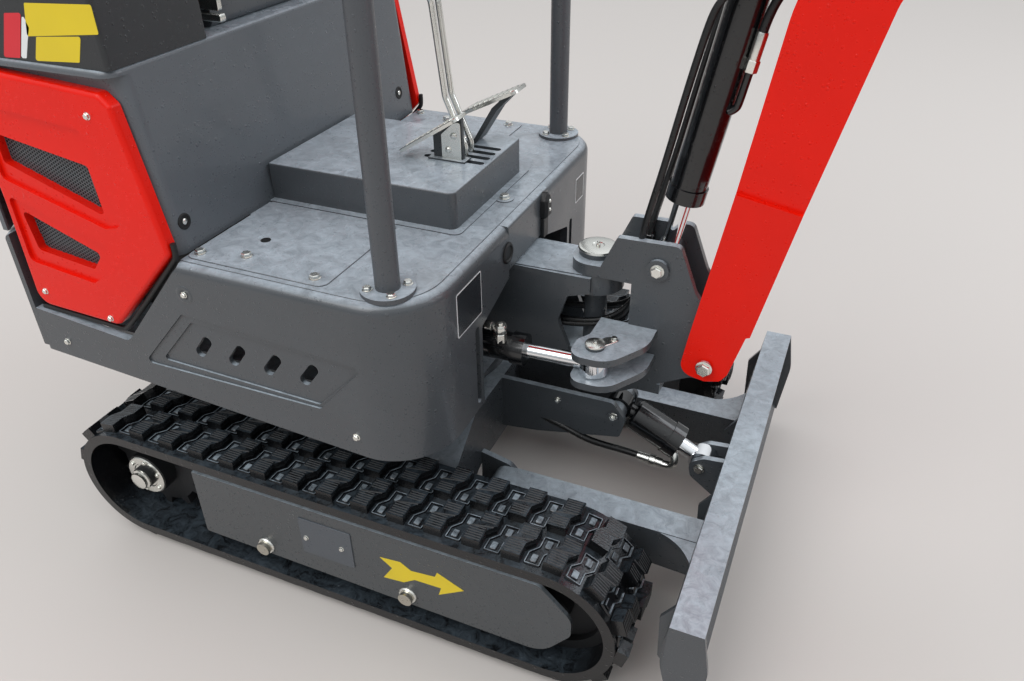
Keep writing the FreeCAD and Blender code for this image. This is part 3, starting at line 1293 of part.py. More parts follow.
def arm(label):
    body = newBody(label)

    def at(along, across, radius=0.0):
        return alongLine(armPivot, armDown, along, across) + (radius,)

    beam = [
        at(-s.leverUp - 30, -s.leverOut - 26, 26), at(-s.leverUp - 24, -s.leverOut + 30, 26), at(-44, 44, 50),
        at(240, 46, 90), at(s.armLong + 30, 30, 30), at(s.armLong + 30, -30, 30), at(s.armLong - 30, -30, 20),
        at(s.armLong - 50, -22, 20), at(s.armLong - 116, -22, 20), at(s.armLong - 140, -34, 20),
        at(s.armLong - 190, -34, 30), at(240, -38, 90), at(-20, -64, 60),
    ]
    sideSlab(body, roundedEdges(beam), "0", "Sizes.armBeam - 8")
    slot = [at(-260, -180), at(-260, 90), at(-s.leverUp + 96, 90), at(-s.leverUp + 60, -180)]
    sideCut(body, roundedEdges(slot), "0", "Sizes.eyeWide + 2 * Sizes.sideGap")
    sideCut(body, ring(armPivot[0], armPivot[1], s.pinRadius + s.pinPlay), "0", "Sizes.armBeam + 8")
    for side in (-1, 1):
        wall = "%d * (Sizes.eyeWide / 2 + Sizes.sideGap + Sizes.earWall / 2)" % side
        ear = [at(90, -40), at(150, -78, 30), at(180, -106, 26), at(206, -84, 22), at(206, -40)]
        sideSlab(body, roundedEdges(ear), wall, "Sizes.earWall")
        sideSlab(body, ring(armTopPin[0], armTopPin[1], 18), "%d * (Sizes.armBeam / 2)" % side, "12")
    sideSlab(body, ring(bucketBasePin[0], bucketBasePin[1], s.pinRadius), "0", "Sizes.eyeWide + 40")
    sideSlab(body, ring(rockerPin[0], rockerPin[1], s.pinRadius), "0", "Sizes.armBeam + 34")
    sideSlab(body, ring(bucketPin[0], bucketPin[1], s.pinRadius), "0", "Sizes.armBeam + 34")
    return body


def rocker(label):
    """Two side levers from the arm to the rod of the bucket cylinder."""
    solids = []
    for side in (-1, 1):
        edges = capsule(rockerPin, rockerTip, 26, 24)
        wire = Part.Wire([e.toShape() for e in edges])
        face = Part.Face(wire)
        lever = face.extrude(Vec(0, 0, s.earWall))
        lever.rotate(Vec(0, 0, 0), Vec(1, 0, 0), 90)
        near = s.armBeam / 2 - 4 + s.sideGap
        lever.translate(Vec(0, side * near if side < 0 else near + s.earWall, 0))
        solids.append(lever.cut(barY(rockerPin[0], rockerPin[1], s.pinRadius + s.pinPlay, -90, 90)))
    edge = s.armBeam / 2 - 4 + s.sideGap
    crossBar = barY(rockerTip[0], rockerTip[1], s.pinRadius, -edge - s.earWall - 6, -s.eyeWide / 2 - 10)
    crossBar2 = barY(rockerTip[0], rockerTip[1], s.pinRadius, s.eyeWide / 2 + 10, edge + s.earWall + 6)
    return shapePart(label, Part.makeCompound([solids[0].fuse(crossBar), solids[1].fuse(crossBar2)]))


def bucketLink(label):
    body = newBody(label)
    for side in (-1, 1):
        at = "%d * (Sizes.eyeWide / 2 + Sizes.sideGap + Sizes.earWall / 2)" % side
        sideSlab(body, capsule(rockerTip, linkPin, 22, 20), at, "Sizes.earWall")
        sideCut(body, ring(rockerTip[0], rockerTip[1], s.pinRadius + s.pinPlay), at, "Sizes.earWall + 8")
    sideSlab(body, ring(linkPin[0], linkPin[1], 22), "0", "Sizes.eyeWide + 10")
    return body


def bucket(label):
    body = newBody(label)
    reach = math.hypot(s.linkDown, s.linkOut)
    rise = math.atan2(s.linkOut, s.linkDown) - math.radians(s.shellLean)
    linkOver = reach * math.cos(rise)
    linkDeep = -reach * math.sin(rise)

    def at(over, deep, radius=0.0):
        """Point by its distance from the bucket pin along the bucket's top, and into the bucket."""
        return alongLine(bucketPin, armDown - s.shellLean, over, deep) + (radius,)

    wall = s.bucketWall
    deep, back = s.bucketDeep, s.bucketBack
    top = s.eyeRadius + 22
    shell = [
        at(-30, top), at(back * 0.66, top, 60), at(back, deep * 0.5, 110), at(back - 40, deep, 110),
        at(40, deep + 40), at(36, deep + 28), at(back - 48, deep - wall, 100), at(back - wall, deep * 0.5, 102),
        at(back * 0.66 - 4, top + wall, 52), at(-30, top + wall),
    ]
    sideSlab(body, roundedEdges(shell), "0", "Sizes.bucketWide - 2 * Sizes.bucketWall")
    cheek = [
        at(-30, top), at(back * 0.66, top, 60), at(back, deep * 0.5, 110), at(back - 40, deep, 110),
        at(40, deep + 40), at(0, deep + 20), at(-20, deep * 0.6, 200),
    ]
    for side in (-1, 1):
        sideSlab(body, roundedEdges(cheek), "%d * (Sizes.bucketWide - Sizes.bucketWall) / 2" % side,
                 "Sizes.bucketWall")
        place = "%d * (Sizes.armBeam / 2 - 4 + Sizes.sideGap + Sizes.earWall / 2)" % side
        ear = [
            at(-26, top + 1), at(-26, -26, 25), at(14, -30, 20), at(linkOver - 14, linkDeep - 26, 24),
            at(linkOver + 24, linkDeep - 18, 24), at(linkOver + 36, top + 1),
        ]
        sideSlab(body, roundedEdges(ear), place, "Sizes.earWall")
        for spot in (bucketPin, linkPin):
            sideCut(body, ring(spot[0], spot[1], s.pinRadius + s.pinPlay), place, "Sizes.earWall + 6")
    shank = [at(52, deep + 20), at(62, deep + 34), at(34, deep + 50), at(26, deep + 34)]
    point = [at(48, deep + 30), at(56, deep + 38), at(12, deep + s.toothLong), at(4, deep + s.toothLong - 4)]
    for i in range(4):
        place = "(%d / 3 - 0.5) * (Sizes.bucketWide - 46)" % i
        sideSlab(body, roundedEdges(shank), place, "44")
        sideSlab(body, roundedEdges(point), place, "28")
    return body


for name, way in SIDES:
    track("track_" + name, way)
    trackFrame("track_frame_" + name, way)
    trackWheels("track_wheels_" + name, way)
    drive("track_drive_" + name, way)
    skirt("skirt_" + name, way)
    sideCover("side_cover_" + name, way)
    console("console_" + name, way)

centreFrame("centre_frame")
shapePart("slew_ring", Part.makeCylinder(
    s.ringRadius, s.ringTop - s.ringLow - s.ringGap, Vec(0, 0, s.ringLow)))
dozerBlade("dozer_blade")
cylinder("blade", bladeBase, bladeRod, bladeRest - s.bladeSlack, 33.0)
houseFrame("house_frame")
deck("deck_plate")
hood("hood")
ventMesh("vent_meshes")
rearShell("counterweight")
rearDoor("rear_door")
shapePart("engine_block", box(
    s.engineRear, s.engineFront, -s.engineHalf, s.engineHalf, s.ringTop + 12, s.hoodTop - 110))
stepBox("step_box")
travelLevers("travel_levers")
pedals("foot_pedals")
seatPart("seat_base", -520, -290, "seatHalf", s.hoodTop + 0.5, s.hoodTop + 60, 12)
seatPart("seat_cushion", -530, -270, "cushionHalf", s.hoodTop + 60 + s.seatGap, s.hoodTop + 140, 30)
seatBack("seat_back")
canopyFrame("canopy_frame")
roof("canopy_roof")
swingBracket("swing_bracket")
swingBase = (s.swingBaseX, s.swingBaseY, s.swingRodZ)
swingRod = (s.swingRodX, s.swingRodY, s.swingRodZ)
cylinder("swing", swingBase, swingRod, s.swingClosed, 27.0, True)
boom("boom")
boomRodFoot = (s.rodFootX, 0.0, s.rodFootZ)
cylinder("boom", (boomTopPin[0], 0.0, boomTopPin[1]), boomRodFoot, s.boomClosed, 31.0)
arm("arm")
cylinder("arm", (armBasePin[0], 0.0, armBasePin[1]), (armTopPin[0], 0.0, armTopPin[1]), s.armClosed, 28.0)
rocker("bucket_rocker")
bucketLink("bucket_link")
bucket("bucket")
cylinder("bucket", (bucketBasePin[0], 0.0, bucketBasePin[1]), (rockerTip[0], 0.0, rockerTip[1]), s.bucketClosed, 25.0)

doc.recompute()
broken = []
for thing in doc.Objects:
    if "Invalid" in thing.State or "Error" in thing.State:
        broken.append("%s %s" % (thing.Name, thing.State))
for part in subParts:
    if part.Shape.isNull() or not part.Shape.isValid():
        broken.append("shape of %s" % part.Label)
if broken:
    raise RuntimeError("not built: " + "; ".join(broken))
os.makedirs("parts", exist_ok=True)
for part in subParts:
    part.Shape.exportStep("parts/%s.step" % part.Label)
print("%d sub-parts written" % len(subParts))
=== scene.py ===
import json
import math

import bmesh
import bpy
from mathutils import Matrix, Vector


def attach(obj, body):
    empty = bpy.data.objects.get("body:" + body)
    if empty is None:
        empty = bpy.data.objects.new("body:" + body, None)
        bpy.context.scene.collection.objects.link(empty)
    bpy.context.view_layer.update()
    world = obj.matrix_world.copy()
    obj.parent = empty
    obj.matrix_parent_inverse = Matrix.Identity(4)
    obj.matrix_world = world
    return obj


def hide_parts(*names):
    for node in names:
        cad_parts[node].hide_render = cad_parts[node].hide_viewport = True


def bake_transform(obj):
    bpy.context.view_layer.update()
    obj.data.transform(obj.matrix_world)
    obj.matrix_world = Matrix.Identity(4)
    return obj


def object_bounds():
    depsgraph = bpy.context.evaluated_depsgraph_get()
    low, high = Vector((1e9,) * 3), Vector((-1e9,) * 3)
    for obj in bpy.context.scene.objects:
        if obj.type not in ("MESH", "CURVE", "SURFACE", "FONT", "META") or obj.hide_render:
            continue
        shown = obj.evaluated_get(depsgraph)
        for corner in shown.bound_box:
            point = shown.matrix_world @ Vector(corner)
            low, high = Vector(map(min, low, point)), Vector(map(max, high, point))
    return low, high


# Mini excavator seen from its right front: rubber tracks, blade, house with canopy, boom, arm and bucket.
# Metres in the frame of the CAD model: +X to the blade, +Y left, +Z up, slew axis through the origin.
# Places and sizes in the dictionaries below are millimetres in that same frame.

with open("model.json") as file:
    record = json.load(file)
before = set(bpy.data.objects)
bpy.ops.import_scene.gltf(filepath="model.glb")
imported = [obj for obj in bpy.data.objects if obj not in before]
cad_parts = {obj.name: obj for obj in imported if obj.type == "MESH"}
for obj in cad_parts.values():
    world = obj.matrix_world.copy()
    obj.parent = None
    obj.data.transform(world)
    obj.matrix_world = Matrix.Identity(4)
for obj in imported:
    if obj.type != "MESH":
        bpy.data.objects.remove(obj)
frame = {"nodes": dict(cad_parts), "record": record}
nodes = frame["nodes"]
lowest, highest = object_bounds()
scene = bpy.context.scene
print("frame loaded")


# Materials

def colour(code):  # linear colour from a hex code in sRGB
    parts = [int(code[i:i + 2], 16) / 255 for i in (1, 3, 5)]
    return [p / 12.92 if p < 0.04045 else ((p + 0.055) / 1.055) ** 2.4 for p in parts] + [1.0]


def addNode(tree, kind, inputs=None, **settings):  # inputs take plain values or another node's output
    node = tree.nodes.new(kind)
    for name, value in settings.items():
        setattr(node, name, value)
    for key, value in (inputs or {}).items():
        if isinstance(value, bpy.types.NodeSocket):
            tree.links.new(value, node.inputs[key])
        else:
            node.inputs[key].default_value = value
    return node


def mixed(tree, factor, first, second):  # blend of two colours
    node = addNode(tree, "ShaderNodeMix", data_type="RGBA")
    for key, value in (("Factor", factor), ("A", first), ("B", second)):
        if isinstance(value, bpy.types.NodeSocket):
            tree.links.new(value, node.inputs[key])
        else:
            node.inputs[key].default_value = value
    return node.outputs["Result"]


surfaces = {
    "patches": 9.0,  # scale of the slow change in shade
    "sheenBlots": 38.0,  # scale of the patches of painted sky reflection on level faces
    "bareMetal": "#bdb9ad", "coatRoughness": 0.06,
}
rain = {
    "drops": ((110.0, 0.34, 0.52), (230.0, 0.36, 0.45)),  # cells in a metre, largest drop, share left dry
    "domePower": 0.45, "pools": 16.0, "waterRoughness": 0.05, "strength": 0.7, "height": 0.0022,
}


def finish(name, code, roughness, metallic=0.0, grain=0.0, grainSize=0.001, coat=0.0, wet=False, worn=0.0,
           sky=None, edge=None, gloss=0.5):
    material = bpy.data.materials.new(name)
    material.use_nodes = True
    tree = material.node_tree
    shader = tree.nodes["Principled BSDF"]
    shader.inputs["Metallic"].default_value = metallic
    shader.inputs["Coat Weight"].default_value = coat
    shader.inputs["Coat Roughness"].default_value = surfaces["coatRoughness"]
    shader.inputs["Specular IOR Level"].default_value = gloss
    place = addNode(tree, "ShaderNodeTexCoord")
    patches = addNode(tree, "ShaderNodeTexNoise", {
        "Vector": place.outputs["Object"], "Scale": surfaces["patches"], "Detail": 5.0,
    })
    shade = addNode(tree, "ShaderNodeMapRange", {
        "Value": patches.outputs["Fac"], "From Min": 0.3, "From Max": 0.7,
        "To Min": 1.0 - worn, "To Max": 1.0 + worn,
    })
    tint = addNode(tree, "ShaderNodeMix", {"Factor": 1.0}, data_type="RGBA", blend_type="MULTIPLY")
    tint.inputs["A"].default_value = colour(code)
    tree.links.new(shade.outputs["Result"], tint.inputs["B"])
    base = tint.outputs["Result"]
    if sky:  # painted reflection of the sky: faces that look up are painted paler, as if a film of water mirrored it, paler still in patches
        facing = addNode(tree, "ShaderNodeNewGeometry")
        upward = addNode(tree, "ShaderNodeSeparateXYZ", {"Vector": facing.outputs["Normal"]})
        level = addNode(tree, "ShaderNodeMapRange", {
            "Value": upward.outputs["Z"], "From Min": 0.62, "From Max": 0.98,
        })
        sheenBlots = addNode(tree, "ShaderNodeTexNoise", {
            "Vector": place.outputs["Object"], "Scale": surfaces["sheenBlots"], "Detail": 9.0, "Roughness": 0.72,
            "Distortion": 0.9,
        })
        thick = addNode(tree, "ShaderNodeMapRange", {
            "Value": sheenBlots.outputs["Fac"], "From Min": 0.36, "From Max": 0.64,
            "To Min": sky[1], "To Max": sky[2],
        })
        share = addNode(tree, "ShaderNodeMath", {0: level.outputs[0], 1: thick.outputs[0]},
                        operation="MULTIPLY")
        base = mixed(tree, share.outputs[0], base, colour(sky[0]))
    if edge:  # bare metal beyond a distance to the side
        spot = addNode(tree, "ShaderNodeSeparateXYZ", {"Vector": place.outputs["Object"]})
        far = addNode(tree, "ShaderNodeMath", {0: spot.outputs["Y"]}, operation="ABSOLUTE")
        bare = addNode(tree, "ShaderNodeMath", {0: far.outputs[0], 1: edge / 1000}, operation="GREATER_THAN")
        base = mixed(tree, bare.outputs[0], base, colour(surfaces["bareMetal"]))
        tree.links.new(bare.outputs[0], shader.inputs["Metallic"])
    tree.links.new(base, shader.inputs["Base Color"])
    rough = addNode(tree, "ShaderNodeMapRange", {
        "Value": patches.outputs["Fac"], "From Min": 0.35, "From Max": 0.65,
        "To Min": roughness * 0.85, "To Max": min(1.0, roughness * 1.15),
    })
    surface = rough.outputs["Result"]
    bump = None
    if grain:
        fine = addNode(tree, "ShaderNodeTexNoise", {
            "Vector": place.outputs["Object"], "Scale": 1.0 / grainSize, "Detail": 2.0,
        })
        bump = addNode(tree, "ShaderNodeBump", {
            "Height": fine.outputs["Fac"], "Strength": grain, "Distance": grainSize * 0.5,
        })
    if wet:
        surface, bump = rainOn(tree, place, surface, bump)
    tree.links.new(surface, shader.inputs["Roughness"])
    if bump:
        tree.links.new(bump.outputs["Normal"], shader.inputs["Normal"])
    return material


def rainOn(tree, place, surface, under):  # drops of two sizes and, on faces that look up, a film in patches
    height = None
    widest = rain["drops"][0][0]
    for count, reach, keep in rain["drops"]:
        cells = addNode(tree, "ShaderNodeTexVoronoi", {
            "Vector": place.outputs["Object"], "Scale": count, "Randomness": 1.0,
        })
        size = addNode(tree, "ShaderNodeSeparateColor", {"Color": cells.outputs["Color"]})
        chosen = addNode(tree, "ShaderNodeMath", {0: size.outputs["Red"], 1: keep}, operation="GREATER_THAN")
        radius = addNode(tree, "ShaderNodeMath", {0: size.outputs["Green"], 1: reach}, operation="MULTIPLY")
        dome = addNode(tree, "ShaderNodeMath", {0: radius.outputs[0], 1: cells.outputs["Distance"]},
                       operation="SUBTRACT")
        dome = addNode(tree, "ShaderNodeMath", {0: dome.outputs[0], 1: 0.0}, operation="MAXIMUM")
        dome = addNode(tree, "ShaderNodeMath", {0: dome.outputs[0], 1: chosen.outputs[0]}, operation="MULTIPLY")
        dome = addNode(tree, "ShaderNodeMath", {0: dome.outputs[0], 1: rain["domePower"]}, operation="POWER")
        scaled = addNode(tree, "ShaderNodeMath", {0: dome.outputs[0], 1: widest / count}, operation="MULTIPLY")
        if height:
            height = addNode(tree, "ShaderNodeMath", {0: height.outputs[0], 1: scaled.outputs[0]},
                             operation="MAXIMUM")
        else:
            height = scaled
    facing = addNode(tree, "ShaderNodeNewGeometry")
    upward = addNode(tree, "ShaderNodeSeparateXYZ", {"Vector": facing.outputs["Normal"]})
    level = addNode(tree, "ShaderNodeMapRange", {
        "Value": upward.outputs["Z"], "From Min": 0.75, "From Max": 0.97,
    })
    puddles = addNode(tree, "ShaderNodeTexNoise", {
        "Vector": place.outputs["Object"], "Scale": rain["pools"], "Detail": 4.0, "Distortion": 0.6,
    })
    pooled = addNode(tree, "ShaderNodeMapRange", {
        "Value": puddles.outputs["Fac"], "From Min": 0.47, "From Max": 0.52,
    })
    film = addNode(tree, "ShaderNodeMath", {0: pooled.outputs[0], 1: level.outputs[0]}, operation="MULTIPLY")
    drop = addNode(tree, "ShaderNodeMapRange", {"Value": height.outputs[0], "From Min": 0.0, "From Max": 0.08})
    water = addNode(tree, "ShaderNodeMath", {0: film.outputs[0], 1: drop.outputs[0]}, operation="MAXIMUM")
    smooth = addNode(tree, "ShaderNodeMix", {
        "Factor": water.outputs[0], "A": surface, "B": rain["waterRoughness"],
    }, data_type="FLOAT")
    dry = addNode(tree, "ShaderNodeMapRange", {"Value": film.outputs[0], "To Min": 1.0, "To Max": 0.0})
    beads = addNode(tree, "ShaderNodeMath", {0: height.outputs[0], 1: dry.outputs[0]}, operation="MULTIPLY")
    settings = {"Height": beads.outputs[0], "Strength": rain["strength"], "Distance": rain["height"]}
    if under:
        settings["Normal"] = under.outputs["Normal"]
    return smooth.outputs["Result"], addNode(tree, "ShaderNodeBump", settings)


paintedSkyReflection = ("#b3bec7", 0.5, 0.9)  # painted reflection: a pale sky grey mixed into faces that look up, and its share where the painted water film is thin and thick
finishes = {
    # textured powder coat, its tops painted pale as a reflection of the sky in water
    "charcoal": finish("charcoalPaint", "#43474b", 0.36, grain=0.35, grainSize=0.0016, coat=0.25, wet=True,
                       worn=0.06, sky=paintedSkyReflection),
    # the same paint with the same painted sky reflection on its tops, the ends of its axles bare zinc
    "sideFrame": finish("sideFramePaint", "#3c4043", 0.34, grain=0.3, grainSize=0.0016, coat=0.25, wet=True,
                        worn=0.06, sky=paintedSkyReflection, edge=457.6),
    # bright gloss enamel on the boom and the covers
    "red": finish("redGloss", "#e11604", 0.34, coat=0.06, wet=True, worn=0.03, gloss=0.22),
    # the boom's red painted lighter on a weld bead, a painted highlight where it catches the light
    "weldHighlightRed": finish("weldedRedHighlight", "#f04a34", 0.3, coat=0.1),
    # black wet rubber of the tracks, its tops painted with a grey-blue reflection of the sky
    "rubber": finish("moldedRubber", "#0e0f11", 0.22, grain=0.3, grainSize=0.003, wet=True, worn=0.1,
                     sky=("#4a545c", 0.02, 0.6)),
    # rims of the pads, dark wet rubber with their tops painted pale, a painted reflection of the sky
    "wetRimSkySheen": finish("wetRubberRimSkySheen", "#15171a", 0.2, wet=True, sky=("#9aa6af", 0.15, 0.95)),
    # rubber rubbed grey where it meets the road
    "ribRubber": finish("ribbedRubber", "#3a3b3c", 0.5, grain=0.4, grainSize=0.002, worn=0.12),
    # matt black strips and grommets
    "seal": finish("sealRubber", "#0e0f10", 0.55, grain=0.3, grainSize=0.002),
    # wrapped cover of the hoses, a dull black
    "hose": finish("hoseRubber", "#121314", 0.42, grain=0.4, grainSize=0.0012, wet=True),
    # glossy black on cylinders and pipes
    "blackPaint": finish("blackGloss", "#0d0e10", 0.22, coat=0.4, wet=True),
    # painted wire over a black gap
    "meshWire": finish("meshWire", "#4d5357", 0.4, coat=0.1),
    # sheet metal in a slightly lighter grey, its tops painted pale as a reflection of the sky
    "hoodGrey": finish("hoodGrey", "#565b60", 0.38, grain=0.25, grainSize=0.0016, coat=0.2, wet=True,
                       worn=0.05, sky=paintedSkyReflection),
    # the same family of grey with a bluish cast
    "bluish": finish("coverPaint", "#454b52", 0.36, grain=0.3, grainSize=0.0016, coat=0.2, wet=True),
    # paint on the round posts, their tops painted pale as a reflection of the sky
    "tube": finish("tubePaint", "#4a4d51", 0.4, grain=0.3, grainSize=0.0014, wet=True, sky=paintedSkyReflection),
    # dark oily iron
    "casting": finish("oilyCasting", "#202123", 0.5, metallic=0.3, grain=0.5, grainSize=0.002, worn=0.2),
    # bright plated bolts and fittings
    "zinc": finish("zincPlate", "#e2e2dc", 0.25, metallic=1.0, grain=0.1, grainSize=0.002, worn=0.1),
    # mirror-bright rods
    "chrome": finish("hardChrome", "#e4e6e8", 0.08, metallic=1.0),
    # consoles and grips, their tops wet and painted paler as a reflection of the sky
    "plastic": finish("grainedPlastic", "#2a2c2e", 0.45, grain=0.5, grainSize=0.0012, wet=True,
                      sky=("#80888e", 0.2, 0.7)),
    # painted pedal steel under water, its tops painted pale as a reflection of the sky
    "pedal": finish("ribbedPedal", "#33373a", 0.4, grain=0.4, grainSize=0.0014, wet=True,
                    sky=("#a9b1b7", 0.5, 0.95)),
    # grained black cover of the seat
    "vinyl": finish("seatVinyl", "#1b1c1e", 0.5, grain=0.6, grainSize=0.0015),
    # plain printed films
    "yellow": finish("yellowFilm", "#dcc21c", 0.35, worn=0.04),
    "white": finish("whiteFilm", "#dfe1e2", 0.35, worn=0.03),
    "redFilm": finish("redFilm", "#cf2330", 0.35, worn=0.03),
    # dark glossy film of the blank plates
    "darkFilm": finish("darkFilm", "#24272b", 0.25, wet=True),
}
slotFinish = {
    "tracks": "rubber",
    "black_steel": "blackPaint",
    "chrome": "chrome",
    "red_paint": "red",
    "dark_paint": "charcoal",
    "grey_paint": "hoodGrey",
    "cast_iron": "casting",
    "zinc": "zinc",
    "dark_plastic": "plastic",
    "seat_cloth": "vinyl",
}
nodeFinish = {
    "canopy_frame": "tube", "blade_cylinder_barrel": "blackPaint", "track_frame_right": "sideFrame",
    "track_frame_left": "sideFrame", "foot_pedals": "pedal",
}
for row in frame["record"]["subparts"]:
    node = nodes[row["node"]]
    chosen = nodeFinish.get(row["node"], slotFinish[row["material_slot"]])
    node.data.materials.clear()
    node.data.materials.append(finishes[chosen])
print("materials set")


# Shapes in millimetres

def dressed(name, body, shape, finishName, ride=True):  # a finished bmesh or mesh becomes a piece
    mesh = meshOf(shape) if isinstance(shape, bmesh.types.BMesh) else shape
    mesh.name = name
    mesh.materials.clear()
    mesh.materials.append(finishes[finishName])
    piece = bpy.data.objects.new(name, mesh)
    scene.collection.objects.link(piece)
    if ride:
        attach(piece, body)
    return piece


def meshOf(shape, sharp=0.6):  # bmesh in millimetres to a mesh in metres
    bmesh.ops.recalc_face_normals(shape, faces=shape.faces)
    bmesh.ops.scale(shape, vec=(0.001, 0.001, 0.001), verts=shape.verts)
    mesh = bpy.data.meshes.new("shape")
    shape.to_mesh(mesh)
    shape.free()
    mesh.shade_smooth()
    mesh.set_sharp_from_angle(angle=sharp)
    return mesh


def rounded(outline, radius, steps=4):  # outline with arcs at its corners
    result = []
    count = len(outline)
    for i in range(count):
        here = Vector(outline[i])
        back = Vector(outline[i - 1]) - here
        ahead = Vector(outline[(i + 1) % count]) - here
        half = back.angle(ahead) / 2
        cut = min(radius / math.tan(half), back.length * 0.49, ahead.length * 0.49)
        fitted = cut * math.tan(half)
        back.normalize()
        ahead.normalize()
        centre = here + (back + ahead).normalized() * (fitted / math.sin(half))
        start = here + back * cut - centre
        end = here + ahead * cut - centre
        first = math.atan2(start.y, start.x)
        turn = math.atan2(start.x * end.y - start.y * end.x, start.dot(end))
        for step in range(steps + 1):
            angle = first + turn * step / steps
            result.append((centre.x + fitted * math.cos(angle), centre.y + fitted * math.sin(angle)))
    return result


def inset(outline, amount):  # outline moved inwards
    points = [Vector(p) for p in outline]
    count = len(points)
    area = sum(points[i - 1].cross(points[i]) for i in range(count))
    side = 1.0 if area > 0 else -1.0
    result = []
    for i in range(count):
        before = (points[i] - points[i - 1]).normalized()
        after = (points[(i + 1) % count] - points[i]).normalized()
        first = Vector((-before.y, before.x)) * side
        second = Vector((-after.y, after.x)) * side
        shift = (first + second) / max(0.3, 1.0 + first.dot(second))
        result.append(tuple(points[i] + shift * amount))
    return result


def slab(shape, outline, base, across, up, thick, chamfer=0.5):  # plate with a chamfered outer edge
    across = Vector(across)
    up = Vector(up)
    out = across.cross(up)
    base = Vector(base)
    layers = [(outline, 0.0), (outline, thick - chamfer), (inset(outline, chamfer), thick)]
    rings = []
    for points, depth in layers:
        rings.append([shape.verts.new(base + across * u + up * v + out * depth) for u, v in points])
    for lower, upper in zip(rings, rings[1:]):
        for i in range(len(lower)):
            shape.faces.new((lower[i - 1], lower[i], upper[i], upper[i - 1]))
    shape.faces.new(rings[0][::-1])
    shape.faces.new(rings[-1])


def frameRing(shape, outline, base, across, up, thick, wide):  # raised line round an outline
    across = Vector(across)
    up = Vector(up)
    out = across.cross(up)
    base = Vector(base)
    crest = 0.3 * wide
    loops = [(outline, 0.0), (inset(outline, crest), thick), (inset(outline, wide - crest), thick),
             (inset(outline, wide), 0.0)]
    rings = []
    for points, depth in loops:
        rings.append([shape.verts.new(base + across * u + up * v + out * depth) for u, v in points])
    for k in range(4):
        lower, upper = rings[k], rings[(k + 1) % 4]
        for i in range(len(lower)):
            shape.faces.new((lower[i - 1], lower[i], upper[i], upper[i - 1]))


def turned(shape, base, aim, profile, sides=28):  # profile of (radius, height) turned about a line
    turn = Vector(aim).to_track_quat("Z", "Y").to_matrix()
    base = Vector(base)
    rings = []
    for radius, height in profile:
        if radius < 0.01:
            rings.append([shape.verts.new(base + turn @ Vector((0, 0, height)))])
            continue
        spots = []
        for i in range(sides):
            angle = 2 * math.pi * (i + 0.5) / sides
            spot = Vector((radius * math.cos(angle), radius * math.sin(angle), height))
            spots.append(shape.verts.new(base + turn @ spot))
        rings.append(spots)
    for lower, upper in zip(rings, rings[1:]):
        for i in range(sides):
            corners = [lower[i - 1] if len(lower) > 1 else lower[0], lower[i] if len(lower) > 1 else lower[0],
                       upper[i] if len(upper) > 1 else upper[0], upper[i - 1] if len(upper) > 1 else upper[0]]
            corners = list(dict.fromkeys(corners))
            if len(corners) > 2:
                shape.faces.new(corners)
    for ends in (rings[0], rings[-1]):
        if len(ends) > 1:
            shape.faces.new(ends)


def flexed(points, radius, order=4, closed=False, sides=3):  # mesh of a round tube along a smooth line
    curve = bpy.data.curves.new("line", "CURVE")
    curve.dimensions = "3D"
    line = curve.splines.new("NURBS")
    line.points.add(len(points) - 1)
    for spot, place in zip(line.points, points):
        spot.co = (place[0] / 1000, place[1] / 1000, place[2] / 1000, 1.0)
    line.use_cyclic_u = closed
    line.order_u = min(order, len(points))
    line.use_endpoint_u = not closed
    line.resolution_u = 8
    curve.bevel_depth = radius / 1000
    curve.bevel_resolution = sides
    curve.use_fill_caps = not closed
    carrier = bpy.data.objects.new("line", curve)
    mesh = bpy.data.meshes.new_from_object(carrier)
    bpy.data.objects.remove(carrier)
    mesh.shade_smooth()
    return mesh


def repeatTree():  # heads on points: each turned to its own directions and scaled, then made real
    tree = bpy.data.node_groups.new("headsOnPoints", "GeometryNodeTree")
    for name, kind in (("Points", "NodeSocketGeometry"), ("Head", "NodeSocketObject"),
                       ("Finish", "NodeSocketMaterial")):
        tree.interface.new_socket(name=name, in_out="INPUT", socket_type=kind)
    tree.interface.new_socket(name="Heads", in_out="OUTPUT", socket_type="NodeSocketGeometry")
    given = addNode(tree, "NodeGroupInput")
    aim = addNode(tree, "GeometryNodeInputNamedAttribute", {"Name": "aim"}, data_type="FLOAT_VECTOR")
    along = addNode(tree, "GeometryNodeInputNamedAttribute", {"Name": "along"}, data_type="FLOAT_VECTOR")
    size = addNode(tree, "GeometryNodeInputNamedAttribute", {"Name": "size"}, data_type="FLOAT_VECTOR")
    raised = addNode(tree, "FunctionNodeAlignRotationToVector", {"Vector": aim.outputs["Attribute"]}, axis="Z")
    aligned = addNode(tree, "FunctionNodeAlignRotationToVector", {
        "Rotation": raised.outputs["Rotation"], "Vector": along.outputs["Attribute"],
    }, axis="X", pivot_axis="Z")
    head = addNode(tree, "GeometryNodeObjectInfo", {"Object": given.outputs["Head"]})
    placed = addNode(tree, "GeometryNodeInstanceOnPoints", {
        "Points": given.outputs["Points"], "Instance": head.outputs["Geometry"],
        "Rotation": aligned.outputs["Rotation"], "Scale": size.outputs["Attribute"],
    })
    real = addNode(tree, "GeometryNodeRealizeInstances", {"Geometry": placed.outputs["Instances"]})
    coated = addNode(tree, "GeometryNodeSetMaterial", {
        "Geometry": real.outputs["Geometry"], "Material": given.outputs["Finish"],
    })
    addNode(tree, "NodeGroupOutput", {"Heads": coated.outputs["Geometry"]})
    return tree


headsOnPoints = repeatTree()


